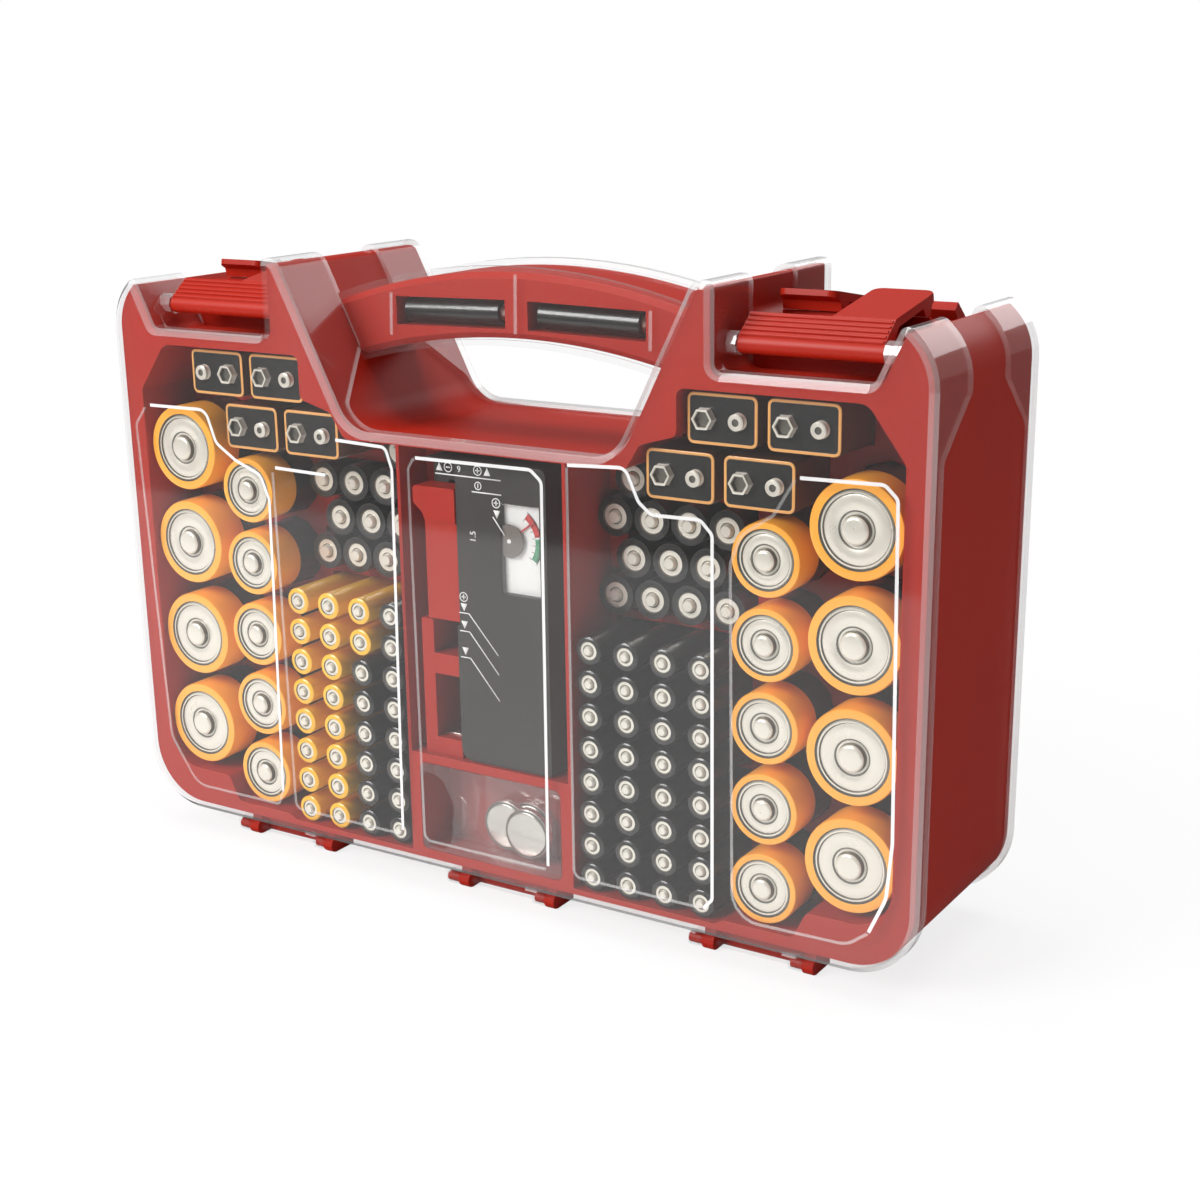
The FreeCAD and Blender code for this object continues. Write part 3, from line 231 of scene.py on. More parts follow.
clear_polystyrene = clear("clear_polystyrene", 0.007, 0.02, 0.06, 1.0)
# The second copy's strong white veil is a painted highlight on the bevels and skirt ends.
edge_painted_highlight = clear("clear_polystyrene_edge_painted_highlight", 0.12, 0.24, 0.12, 2.2)
for side in ("front", "back"):
    lid = softened(side + "_lid", side + "_lid_moulding", 0.9, side + "_lid",
                   clear_polystyrene, segments=3, rim=(edge_painted_highlight, is_rim))


def rounded_path(points, closed=True, steps=6):
    """A path through corners (x, z, radius), each corner swept by an arc of its radius.

    The arc starts and ends r tan(turn / 2) before and after the corner; its points are
    centre + r (cos t, sin t) for t between the two end directions.
    """
    count = len(points)
    out = []
    for k, (x, z, r) in enumerate(points):
        here = np.array((x, z), dtype=float)
        if r == 0 or (not closed and k in (0, count - 1)):
            out.append(here[None])
            continue
        before = np.array(points[k - 1][:2], dtype=float) - here
        after = np.array(points[(k + 1) % count][:2], dtype=float) - here
        before /= np.linalg.norm(before)
        after /= np.linalg.norm(after)
        half = math.acos(float(np.clip(before @ after, -1, 1))) / 2
        middle = (before + after) / np.linalg.norm(before + after)
        centre = here + middle * r / math.sin(half)
        start = here + before * r / math.tan(half) - centre
        end = here + after * r / math.tan(half) - centre
        t = np.linspace(0, 1, steps)[:, None]
        arc = start * (1 - t) + end * t
        out.append(centre + arc * r / np.linalg.norm(arc, axis=1, keepdims=True))
    return np.concatenate(out)


def finish_mesh(mesh, name, materials, body, nodes, sharp=38):
    """Turns the faces outwards, shades them smooth between edges that turn by less than
    sharp degrees, and fixes the piece to its body, in place of the nodes it dresses."""
    for one in materials:
        mesh.materials.append(one)
    work = bmesh.new()
    work.from_mesh(mesh)
    bmesh.ops.recalc_face_normals(work, faces=work.faces)
    for edge in work.edges:
        edge.smooth = edge.calc_face_angle(0.0) < math.radians(sharp)
    for face in work.faces:
        face.smooth = True
    work.to_mesh(mesh)
    work.free()
    item = bpy.data.objects.new(name, mesh)
    scene.collection.objects.link(item)
    if nodes:
        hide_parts(*nodes)
    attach(item, body)
    return item


BEAD_STEPS = 7
BEAD_SHARP = 50


def bead(name, paths, y, outward, width, height, material, body):
    """Moulded ridges on a flat wall: a half-round strip along each path.

    A vertex is path point + normal * (width / 2) cos t and y + outward * height * sin t,
    for t from 0 to pi, where the normal is square to the path in the wall.
    """
    t = np.linspace(0, np.pi, BEAD_STEPS)
    verts, faces = [], []
    base = 0
    for path, closed in paths:
        ahead = np.roll(path, -1, 0) - np.roll(path, 1, 0)
        if not closed:
            ahead[0], ahead[-1] = path[1] - path[0], path[-1] - path[-2]
        ahead /= np.linalg.norm(ahead, axis=1, keepdims=True)
        normal = np.stack([-ahead[:, 1], ahead[:, 0]], 1)
        across = path[:, None, :] + normal[:, None, :] * (np.cos(t) * width / 2)[None, :, None]
        depth = np.broadcast_to(y + outward * height * np.sin(t), across.shape[:2])
        grid = np.stack([across[..., 0], depth, across[..., 1]], -1)
        rows, cols = grid.shape[:2]
        index = base + np.arange(rows * cols).reshape(rows, cols)
        after = np.roll(index, -1, 0)
        last = rows if closed else rows - 1
        quads = np.stack([index[:last, :-1], index[:last, 1:], after[:last, 1:],
                          after[:last, :-1]], -1)
        flat = np.stack([index[:last, -1], index[:last, 0], after[:last, 0],
                         after[:last, -1]], -1)
        verts.append(grid.reshape(-1, 3) * MM)
        faces += quads.reshape(-1, 4).tolist() + flat.tolist()
        if not closed:
            faces += [index[0, ::-1].tolist(), index[-1].tolist()]
        base += rows * cols
    mesh = bpy.data.meshes.new(name)
    mesh.from_pydata(np.concatenate(verts).tolist(), [], faces)
    finish_mesh(mesh, name, [material], body, [], sharp=BEAD_SHARP)


# The face of each lid is stepped into five shallow panels over the groups of cells.
# The steps that face up and right carry a strong white veil, a painted highlight; the
# others a weak one, a faint painted highlight.
step_painted_highlight = clear("clear_polystyrene_step_lit", 0.6, 0.8, 0.12, 2.0)
step_painted_faint_highlight = clear("clear_polystyrene_step", 0.08, 0.16, 0.12, 1.6)
LID_FACE = 46.0
BEAD_SINK = 0.02
STEP_RISE = 0.6
LIT_WIDTH = 1.25
FAINT_WIDTH = 1.1
LIT_STEPS = (
    [(-158.4, 180.3, 0), (-128.6, 180.7, 5), (-124.0, 168.0, 5), (-114.5, 162.1, 5),
     (-102.0, 157.4, 5), (-98.0, 147.9, 5), (-100.5, 27.0, 0)],
    [(-94.0, 161.0, 0), (-69.0, 160.6, 0)],
    [(-63.2, 174.6, 0), (-39.5, 173.9, 3), (-36.8, 165.7, 3), (-39.4, 22.6, 0)],
    [(-25.7, 171.3, 0), (25.1, 171.8, 3), (29.7, 167.9, 3), (28.6, 22.3, 0)],
    [(40.7, 175.0, 0), (64.3, 176.3, 4), (69.4, 165.0, 4), (74.5, 161.0, 4),
     (93.5, 161.4, 3), (98.1, 156.8, 3), (98.1, 24.7, 2), (94.5, 20.6, 0)],
    [(130.4, 179.4, 0), (160.0, 180.1, 3), (164.6, 175.8, 3), (165.8, 60.0, 8),
     (164.0, 40.0, 12), (158.0, 26.6, 0)],
)
FAINT_STEPS = (
    [(-161.5, 179.0, 0), (-167.0, 172.0, 4), (-161.0, 40.0, 12), (-148.0, 20.8, 10),
     (-103.0, 20.8, 2), (-100.5, 27.0, 0)],
    [(-40.5, 20.8, 0), (-94.0, 20.8, 3), (-95.5, 159.0, 0)],
    [(27.5, 20.8, 0), (-28.8, 20.8, 3), (-29.3, 167.0, 3), (-26.5, 171.0, 0)],
    [(93.0, 20.6, 0), (40.0, 20.6, 3), (40.4, 174.0, 0)],
    [(157.6, 26.0, 0), (150.0, 20.2, 10), (106.0, 19.4, 10), (105.0, 148.0, 4),
     (109.0, 158.0, 5), (121.0, 166.0, 5), (128.6, 178.6, 0)],
)
# Upright ribs stiffen the cover over the handle; they carry the faint painted highlight.
COVER_FACE = 18.2
RIB_WIDTH = 1.4
RIB_RISE = 0.5
COVER_RIBS = ((-55.6, 227.0, -56.4, 211.0), (1.5, 236.0, 0.9, 214.5),
              (58.2, 226.0, 57.9, 212.0))
for side, s in (("front", -1), ("back", 1)):
    for kind, corners, width, material in (("lit", LIT_STEPS, LIT_WIDTH, step_painted_highlight),
                                           ("faint", FAINT_STEPS, FAINT_WIDTH, step_painted_faint_highlight)):
        paths = [(rounded_path([(-s * x, z, r) for x, z, r in run], False), False)
                 for run in corners]
        bead(f"{side}_lid_steps_{kind}", paths, s * (LID_FACE - BEAD_SINK), -s, width,
             STEP_RISE, material, side + "_lid")
    paths = [(np.array([(-s * x0, z0), (-s * x1, z1)]), False)
             for x0, z0, x1, z1 in COVER_RIBS]
    bead(f"{side}_handle_cover_ribs", paths, s * (COVER_FACE - BEAD_SINK), -s, RIB_WIDTH,
         RIB_RISE, step_painted_faint_highlight, side + "_lid")

# ------------------------------------------------------------------ latches
# Four red ABS latches, each a ribbed barrel between two pins of its lid with a flap
# that ends in a finger lip. They are moulded in the same red as the case.

# Middle and half length of a latch along x, and the two ends of its slope as (y, z).
LATCH_X = 127.5
LATCH_HALF = 26.0
SLOPE_FOOT = (-34.2, 221.7)
SLOPE_HEAD = (-25.3, 228.9)
RIDGE_PLACES = (0.1, 0.29, 0.48, 0.67, 0.86)
RIDGE_WIDTH = 1.3
RIDGE_RISE = 0.75
RIDGE_BASE = 0.3
RIDGE_END_GAP = 0.5
# The lip's corner edges lie past this y and are longer than this; they get this radius.
TAB_END_Y = 6.0
TAB_EDGE = 1.0
TAB_CORNER = 3.5


def latch_ridges(name, mid, turn, body):
    """Half-round grip ridges along x on the slope of a latch.

    A ridge stands at foot + u * (head - foot), for each place u. Its section is
    (width / 2) cos t along the slope and base + rise * sin t square to it, t from 0
    to pi, from one end of the latch to the other. A latch of the back is turned half
    round about the upright axis.
    """
    foot, slope = np.array(SLOPE_FOOT), np.subtract(SLOPE_HEAD, SLOPE_FOOT)
    along = slope / np.linalg.norm(slope)
    square = np.array((-along[1], along[0]))
    t = np.linspace(0, np.pi, BEAD_STEPS)
    section = (np.outer(np.cos(t), along) * RIDGE_WIDTH / 2
               + np.outer(RIDGE_BASE + RIDGE_RISE * np.sin(t), square))
    places = foot + np.outer(RIDGE_PLACES, slope)
    shape = (len(places), 2, BEAD_STEPS)
    reach = LATCH_HALF - RIDGE_END_GAP
    x = np.broadcast_to(np.array((mid - reach, mid + reach))[:, None], shape)
    y, z = (np.broadcast_to(places[:, None, None, k] + section[:, k], shape) for k in (0, 1))
    verts = np.stack([x * turn, y * turn, z], -1).reshape(-1, 3) * MM
    index = np.arange(len(verts)).reshape(shape)
    after = np.roll(index, -1, 2)
    quads = np.stack([index[:, 0], after[:, 0], after[:, 1], index[:, 1]], -1)
    faces = quads.reshape(-1, 4).tolist()
    faces += index[:, 0, ::-1].tolist() + index[:, 1].tolist()
    mesh = bpy.data.meshes.new(name)
    mesh.from_pydata(verts.tolist(), [], faces)
    finish_mesh(mesh, name, [red_abs], body, [], sharp=BEAD_SHARP)


def round_tab(item, turn):
    """Rounds the two corners of a latch's finger lip, seen from above."""
    work = bmesh.new()
    work.from_mesh(item.data)
    corners = []
    for edge in work.edges:
        a, b = edge.verts[0].co / MM, edge.verts[1].co / MM
        upright = abs(a.x - b.x) < SAME_POINT / MM and abs(a.z - b.z) > TAB_EDGE
        if upright and min(a.y * turn, b.y * turn) > TAB_END_Y:
            corners.append(edge)
    bmesh.ops.bevel(work, geom=corners, offset=TAB_CORNER * MM, segments=5, profile=0.5,
                    affect="EDGES", clamp_overlap=True)
    work.to_mesh(item.data)
    work.free()


for latch, mid, turn in (("front_left", -LATCH_X, 1), ("front_right", LATCH_X, 1),
                         ("back_left", LATCH_X, -1), ("back_right", -LATCH_X, -1)):
    node = "latch_" + latch
    clip = softened(node, node + "_clip", 0.35, node, red_abs)
    round_tab(clip, turn)
    latch_ridges(node + "_ridges", mid, turn, node)

# ------------------------------------------------------------------ round cells
# Cylindrical cells: a steel can in a printed plastic sleeve, shrunk over the shoulder
# so that a narrow lip of sleeve frames the plated end cap with its raised contact.


def turned(name, profile, bands, centres, sides, materials, body, nodes,
           along=(0, 1, 0)):
    """Many equal turned pieces, in one mesh.

    A vertex is centre + r cos a * u + r sin a * v + y * along for each profile point
    (r, y) and each of the angles a, with u and v square to the axis along; bands gives
    the material of each strip between profile points.
    """
    r, y = np.array(profile, dtype=float).T
    a = np.arange(sides) * 2 * np.pi / sides
    w = np.array(along, dtype=float) / np.linalg.norm(along)
    u = np.array((1, 0, 0)) if abs(w[0]) < 0.5 else np.array((0, 1, 0))
    v = np.cross(u, w)
    v /= np.linalg.norm(v)
    ring = (np.outer(r, np.cos(a))[..., None] * u + np.outer(r, np.sin(a))[..., None] * v
            + y[:, None, None] * w)
    count, rows = len(centres), len(r)
    verts = (np.array(centres, dtype=float)[:, None, None, :] + ring[None]) * MM
    grid = np.arange(count * rows * sides).reshape(count, rows, sides)
    step = np.roll(grid, -1, axis=2)
    quads = np.stack([grid[:, :-1], step[:, :-1], step[:, 1:], grid[:, 1:]], axis=-1)
    faces = quads.reshape(-1, 4).tolist()
    index = np.tile(np.repeat(bands, sides), count).tolist()
    faces += grid[:, 0, ::-1].tolist() + grid[:, -1].tolist()
    index += [bands[0]] * count + [bands[-1]] * count
    mesh = bpy.data.meshes.new(name)
    mesh.from_pydata(verts.reshape(-1, 3).tolist(), [], faces)
    # The slots come first: validate() sets an index that has no slot back to the first.
    for one in materials:
        mesh.materials.append(one)
    mesh.polygons.foreach_set("material_index", index)
    mesh.validate()
    finish_mesh(mesh, name, [], body, nodes)


def sleeve(name, colour, roughness=0.28):
    """Printed plastic sleeve shrunk on a steel can: a colour that hardly varies, over
    some 17 mm, under a clear gloss."""
    material, tree, out = fresh(name)
    place = add(tree, "ShaderNodeTexCoord")
    drift = add(tree, "ShaderNodeTexNoise", Vector=(place, "Object"),
                Scale=per_metre(16.7), Detail=2.0)
    shade = add(tree, "ShaderNodeMapRange", Value=(drift, "Fac"), To_Min=0.9, To_Max=1.1)
    tint = add(tree, "ShaderNodeHueSaturation", Value=(shade, "Result"),
               Color=linear(colour))
    shader = add(tree, "ShaderNodeBsdfPrincipled", Base_Color=(tint, "Color"),
                 Roughness=roughness, Coat_Weight=0.4, Coat_Roughness=0.1)
    tree.links.new(shader.outputs["BSDF"], out.inputs["Surface"])
    return material


orange_sleeve = sleeve("printed_sleeve_orange", "#FFAE36")
black_sleeve = sleeve("printed_sleeve_black", "#1B1917")
yellow_sleeve = sleeve("printed_sleeve_yellow", "#F8BC2A")


def plated(name, colour, metallic, roughness, scuffed=None):
    """Plated steel in one colour; soft scuffs, some 8 mm across, raise the roughness as
    far as scuffed."""
    material, tree, out = fresh(name)
    if scuffed:
        place = add(tree, "ShaderNodeTexCoord")
        scuff = add(tree, "ShaderNodeTexNoise", Vector=(place, "Object"),
                    Scale=per_metre(8.33), Detail=1.0)
        rough = add(tree, "ShaderNodeMapRange", Value=(scuff, "Fac"), To_Min=roughness,
                    To_Max=scuffed)
        roughness = (rough, "Result")
    shader = add(tree, "ShaderNodeBsdfPrincipled", Base_Color=linear(colour),
                 Metallic=metallic, Roughness=roughness)
    tree.links.new(shader.outputs["BSDF"], out.inputs["Surface"])
    return material


# Pressed nickel-plated caps; a darker copy of that nickel, painted shade on the grooves
# that turn away from the light; and the brighter steel of the coin cells and the
# contact strip.
nickel = plated("nickel_plated_steel", "#F2EDE0", 0.5, 0.24, 0.34)
nickel_painted_shade = plated("nickel_plated_steel_painted_shade", "#77736A", 0.6, 0.35)
bright_steel = plated("bright_plated_steel", "#E4E1D8", 0.9, 0.22)


def cap_profile(r, length, lip, nub_r, nub_h):
    """Back to front: base, sleeve, rolled lip, sunk cap with two rings, raised contact."""
    cap = r - lip
    return [
        (r - 0.8, length), (r, length - 0.6), (r, 14.0), (r, 0.9), (r - 0.35, 0.15),
        (r - 1.0, 0.0), (cap + 0.25, 0.1), (cap, 0.95), (cap - 0.35, 0.95),
        (cap - 0.75, 0.2), (cap - 1.3, 0.15), (cap - 1.7, 0.75), (cap - 2.2, 0.6),
        (nub_r + 1.9, 0.4), (nub_r + 1.3, 0.8), (nub_r + 0.55, 0.75),
        (nub_r + 0.1, -nub_h + 0.7), (nub_r - 0.5, -nub_h + 0.1), (nub_r - 1.1, -nub_h),
    ]


# Band 3, the darker nickel, is painted shade on the steep rings and grooves of the cap.
CAP_BANDS = [0, 0, 1, 1, 1, 1, 3, 3, 2, 2, 3, 2, 2, 3, 2, 3, 2, 2]
# Radius, length, width of the lip, and radius and height of the contact.
D_CELL = (17.1, 60.0, 3.6, 4.7, 1.5)
C_CELL = (13.1, 48.7, 2.6, 3.7, 1.5)
# Distance of a column from the middle, its y, the z of the lowest cell and the pitch.
D_COLUMN = (147.8, -40.0, 46.1, 38.9)
C_COLUMN = (114.8, -39.8, 30.3, 29.6)
for kind, cell, (out_x, y, low, pitch), rows, sides in (("d", D_CELL, D_COLUMN, 4, 64),
                                                        ("c", C_CELL, C_COLUMN, 5, 56)):
    centres = [(s * out_x, y, low + k * pitch) for k in range(rows) for s in (-1, 1)]
    turned(kind + "_cells_dressed", cap_profile(*cell), CAP_BANDS, centres, sides,
           [black_sleeve, orange_sleeve, nickel, nickel_painted_shade], "case",
           [kind + "_cells"])


def small_profile(r, length, nub_r, nub_h):
    """As the larger cells, with fewer rings: base, sleeve, lip, sunk cap, contact."""
    return [
        (r - 0.5, length), (r, length - 0.5), (r, 1.3), (r - 0.4, nub_h * 0.9 + 0.15),
        (r * 0.68, nub_h * 0.9), (r * 0.63, nub_h + 0.35), (nub_r + 0.7, nub_h + 0.2),
        (nub_r + 0.3, nub_h + 0.4), (nub_r, 0.3), (nub_r - 0.35, 0.0),
    ]


# Band 2, the darker nickel, is painted shade where the sunk cap drops and round the contact.
SMALL_BANDS = [0, 0, 0, 0, 2, 1, 2, 1, 1]
# Radius, length, and radius and height of the contact; the back cells show the other end.
AA_CELL = (7.25, 50.0, 2.2, 1.3)
AAA_CELL = (5.25, 44.5, 1.6, 0.9)
BACK_CELL = (7.25, 50.0, 2.7, 1.3)
AA_SIDES = 24
AAA_SIDES = 20
# The columns start at this distance from the middle; (y, lowest z) of each kind.
COLUMN_X = 45.0
COLUMN_PITCH = 15.25
AA_LOW = (-23.2, 123.2)
AAA_LOW = (-42.2, 19.6)
BACK_LOW = (41.3, 21.5)
BACK_PITCH = 14.6
AA_PITCH = 14.53
AAA_PITCH = 12.48
# Offset of the first cell, in columns, and number of cells in each row from below.
AA_ROWS = ((0.0, 4), (0.5, 3), (0.0, 4), (0.5, 1))
BACK_ROWS = [5] * 10 + [4]
AAA_ROWS = 8
AAA_COLUMNS = 4


def is_yellow(s, column, row):
    """On the left, the two outer columns of AAA cells and the top of the next one."""
    return s < 0 and (column > 1 or (column == 1 and row > 5))


for side, s in (("left", -1), ("right", 1)):
    centres = [(s * (COLUMN_X + (first + i) * COLUMN_PITCH), AA_LOW[0],
                AA_LOW[1] + k * AA_PITCH)
               for k, (first, count) in enumerate(AA_ROWS) for i in range(count)]
    turned("aa_cells_" + side + "_dressed", small_profile(*AA_CELL), SMALL_BANDS,
           centres, AA_SIDES, [black_sleeve, nickel, nickel_painted_shade], "case",
           ["aa_cells_" + side])
    plain, yellow = [], []
    for k in range(AAA_ROWS):
        for i in range(AAA_COLUMNS):
            centre = (s * (COLUMN_X + i * COLUMN_PITCH), AAA_LOW[0],
                      AAA_LOW[1] + k * AAA_PITCH)
            (yellow if is_yellow(s, i, k) else plain).append(centre)
    turned("aaa_cells_" + side + "_dressed", small_profile(*AAA_CELL), SMALL_BANDS,
           plain, AAA_SIDES, [black_sleeve, nickel, nickel_painted_shade], "case",
           ["aaa_cells_" + side])
    if yellow:
        turned("aaa_cells_yellow_dressed", small_profile(*AAA_CELL), SMALL_BANDS,
               yellow, AAA_SIDES, [yellow_sleeve, nickel, nickel_painted_shade], "case", [])
centres = [((i - (count - 1) / 2) * BACK_PITCH, BACK_LOW[0], BACK_LOW[1] + k * AA_PITCH)
           for k, count in enumerate(BACK_ROWS) for i in range(count)]
back_profile = [(r, -y) for r, y in small_profile(*BACK_CELL)]
turned("aa_cells_back_dressed", back_profile, SMALL_BANDS, centres, AA_SIDES,
       [black_sleeve, nickel, nickel_painted_shade], "case", ["aa_cells_back"])

# ------------------------------------------------------------------ nine-volt blocks
# Block cells in a bronze printed jacket, with a black end plate framed by the rolled
# copper-coloured edge of the jacket, a six-sided socket and a round stud on each.


def rounded_frame(x, z, size, radius, steps=6):
    """The path round a rectangle about (x, z), from its lower left corner."""
    w, h = size
    return rounded_path([(x - w / 2, z - h / 2, radius), (x + w / 2, z - h / 2, radius),
                         (x + w / 2, z + h / 2, radius), (x - w / 2, z + h / 2, radius)],
                        steps=steps)


def block(name, centre, size, radius, material, nodes):
    """A box of the case, its four long edges rounded, from the first y to the second."""
    x, y0, y1, z = centre
    path = rounded_frame(x, z, size, radius, steps=4)
    mesh = bpy.data.meshes.new(name)
    n = len(path)
    verts = np.concatenate([np.insert(path, 1, y, axis=1) for y in (y0, y1)]) * MM
    k = np.arange(n)
    faces = np.stack([k, (k + 1) % n, (k + 1) % n + n, k + n], 1).tolist()
    faces += [k[::-1].tolist(), (k + n).tolist()]
    mesh.from_pydata(verts.tolist(), [], faces)
    finish_mesh(mesh, name, [material], "case", nodes)


bronze_jacket = sleeve("printed_jacket_bronze", "#5A3216", 0.32)
copper_edge = sleeve("rolled_jacket_edge_copper", "#E0A25A", 0.3)
end_plate = sleeve("moulded_end_plate_black", "#161514", 0.42)
# Jacket and plate as (width, height), their corner radii and their y, front and back.
JACKET = (26.4, 17.4)
JACKET_CORNER = 1.8
JACKET_Y = (-38.3, 7.0)
PLATE = (25.2, 16.2)
PLATE_CORNER = 1.4
PLATE_Y = (-38.45, -38.2)
EDGE_WIDTH = 1.3
EDGE_RISE = 0.2
# Each row, on each side: x of the inner block and z.
NINE_VOLT_ROWS = ((81.45, 173.8), (97.7, 194.3))
NINE_VOLT_PITCH = 30.2
NINE_VOLT = [(s * (x + k * NINE_VOLT_PITCH), z) for x, z in NINE_VOLT_ROWS
             for k in range(2) for s in (-1, 1)]
for k, (x, z) in enumerate(NINE_VOLT, start=1):
    block(f"nine_volt_{k}_jacket", (x, *JACKET_Y, z), JACKET, JACKET_CORNER,
          bronze_jacket, ["nine_volt_cells"] if k == 1 else [])
    block(f"nine_volt_{k}_plate", (x, *PLATE_Y, z), PLATE, PLATE_CORNER, end_plate, [])
    edge = rounded_frame(x, z, PLATE, JACKET_CORNER)
    bead(f"nine_volt_{k}_edge", [(edge, True)], JACKET_Y[0], -1, EDGE_WIDTH, EDGE_RISE,
         copper_edge, "case")
# Snap terminals: the socket is a crown of six leaves, the stud a waisted button.
SOCKET = [(1.2, 2.2), (2.6, 2.0), (2.9, 0.5), (3.2, 0.15), (3.9, 0.25), (3.7, 1.4),
          (4.1, 2.6), (4.2, 3.0)]
STUD = [(0.9, 0.9), (1.3, 0.35), (2.4, 0.25), (2.9, 0.6), (2.9, 1.0), (2.5, 1.6),
        (2.6, 2.3), (3.0, 2.75), (3.0, 3.0)]
TERMINAL_X = 6.35
TERMINAL_Y = -41.5
SOCKET_SIDES = 6
STUD_SIDES = 20
sockets, studs = [], []
for x, z in NINE_VOLT:
    # The block furthest to the left stands the other way round.
    way = -1 if (x, z) == min(NINE_VOLT) else 1
    sockets.append((x - way * TERMINAL_X, TERMINAL_Y, z))
    studs.append((x + way * TERMINAL_X, TERMINAL_Y, z))
# The hollow of each socket and the dimple of each stud take the darker nickel: painted shade.
turned("nine_volt_sockets", SOCKET, [1, 1] + [0] * (len(SOCKET) - 3), sockets,
       SOCKET_SIDES, [nickel, nickel_painted_shade], "case", ["nine_volt_terminals"])
turned("nine_volt_studs", STUD, [1] + [0] * (len(STUD) - 2), studs, STUD_SIDES,
       [nickel, nickel_painted_shade], "case", [])

# ------------------------------------------------------------------ handle cells
# Two slim spare cells in black sleeves lie in wells along the handle, under the cover
# of the front lid, each with its contact to the right.

HANDLE_CELL = (4.8, 44.5, 1.8, 0.9)
HANDLE_CELL_SIDES = 28
# Middle of the right cell, and how far both slope down outwards, in degrees.
HANDLE_CELL_AT = (30.2, -10.0, 220.6)
HANDLE_CELL_TILT = 1.2
for side, s in (("left", -1), ("right", 1)):
    tilt = math.radians(HANDLE_CELL_TILT) * s
    along = np.array((math.cos(tilt), 0.0, -math.sin(tilt)))
    tip = np.array(HANDLE_CELL_AT) * (s, 1, 1) + along * HANDLE_CELL[1] / 2
    turned(f"handle_cell_{side}_dressed", small_profile(*HANDLE_CELL), SMALL_BANDS,
           [tip], HANDLE_CELL_SIDES, [black_sleeve, nickel, nickel_painted_shade], "case",
           ["handle_cells"] if side == "left" else [], along=tuple(-along))

# ------------------------------------------------------------------ battery tester
# A dark grey ABS housing with a spark-eroded face, a red slider on its left edge and a
# small moving-coil meter under a clear window. Its marks are pad printed in white.

grey_abs = moulded("moulded_abs_dark_grey", "#3D3A37", 0.55, 0.5, 0.008, 0.05)
softened("tester_housing", "tester_housing_moulding", 0.4, "case", grey_abs)
softened("tester_slider", "tester_slider_moulding", 0.4, "tester_slider",
                 red_abs)
softened("meter_pivot_cover", "meter_pivot_cover_moulding", 0.12, "case",
                 moulded("moulded_abs_warm_grey", "#6E645C", 0.45, 0.5, 0.01))
softened("meter_window", "meter_window_sheet", 0.15, "case",
                 clear("clear_polystyrene_window", 0.02, 0.05))


def inked(name, colour, roughness=0.5):
    """Screen ink: one colour, with the unevenness of the print drawn at 1.1 mm, coarser
    than a real screen's mesh, so that it shows."""
    material, tree, out = fresh(name)
    place = add(tree, "ShaderNodeTexCoord")
    print_grain = add(tree, "ShaderNodeTexNoise", Vector=(place, "Object"),
                      Scale=per_metre(1.11))
    shade = add(tree, "ShaderNodeMapRange", Value=(print_grain, "Fac"), To_Min=0.92,
                To_Max=1.06)
    tint = add(tree, "ShaderNodeHueSaturation", Value=(shade, "Result"),
               Color=linear(colour))
    shader = add(tree, "ShaderNodeBsdfPrincipled", Base_Color=(tint, "Color"),
                 Roughness=roughness)
    tree.links.new(shader.outputs["BSDF"], out.inputs["Surface"])
    return material


dial_white = inked("printed_card_white", "#F1F0EC")
ink_white = inked("pad_print_white", "#EDEDEA")
ink_red = inked("screen_ink_red", "#D0302A")
ink_green = inked("screen_ink_green", "#2F8F62")
ink_black = inked("screen_ink_black", "#26262A")
softened("meter_dial", "meter_dial_card", 0.05, "case", dial_white)
softened("meter_needle", "meter_needle_blade", 0.05, "meter_needle",
                 inked("enamelled_steel_red", "#C4242A", 0.35))

# The needle's pivot as (x, z), the planes of the dial's fields and of its scale, and
# the thickness of ink.
PIVOT = (11.0, 143.0)
DIAL_Y = -38.56
SCALE_Y = -38.59
INK_MM = 0.05
ARC_POINTS = 9


def printed(mesh, name, material):
    """Gives a flat mark a skin of ink and fixes it to the case."""
    item = finish_mesh(mesh, name, [material], "case", [])
    skin = item.modifiers.new("ink", "SOLIDIFY")
    skin.thickness = INK_MM * MM
    skin.offset = 0.0


def sectors(name, y, pieces, material):
    """Flat printed marks: each piece is a grid of two radii by angles about the pivot.

    A vertex is (pivot x + r sin a, y, pivot z + r cos a), with a from straight up.
    """
    verts, faces = [], []
    shape = (2, ARC_POINTS)
    count = 2 * ARC_POINTS
    for r0, r1, a0, a1 in pieces:
        a = np.radians(np.linspace(a0, a1, ARC_POINTS))
        r = np.array((r0, r1))[:, None]
        grid = np.stack([PIVOT[0] + r * np.sin(a), np.full(shape, y),
                         PIVOT[1] + r * np.cos(a)], -1)
        index = len(verts) * count + np.arange(count).reshape(shape)
        verts.append(grid.reshape(-1, 3) * MM)
        faces += np.stack([index[0, :-1], index[0, 1:], index[1, 1:], index[1, :-1]],
                          -1).tolist()
    mesh = bpy.data.meshes.new(name)
    mesh.from_pydata(np.concatenate(verts).tolist(), [], faces)
    printed(mesh, name, material)


# Each field is (inner radius, outer radius, first angle, last angle).
sectors("dial_zone_red", DIAL_Y, [(10.6, 13.2, 35, 78)], ink_red)
sectors("dial_zone_green", DIAL_Y, [(10.6, 13.2, 82, 124)], ink_green)
ticks = [(9.4, 10.6, a - 0.6, a + 0.6) for a in range(35, 126, 15)]
sectors("dial_scale", SCALE_Y, [(13.2, 13.5, 33, 126)] + ticks, ink_black)

# Generic marks on the front: polarity signs, pointers, leader lines and plain numbers.
MARK_Y = -41.03
LINE = 0.45
THIN_LINE = 0.35
RING_POINTS = 20
POINTER_HALF = 1.5


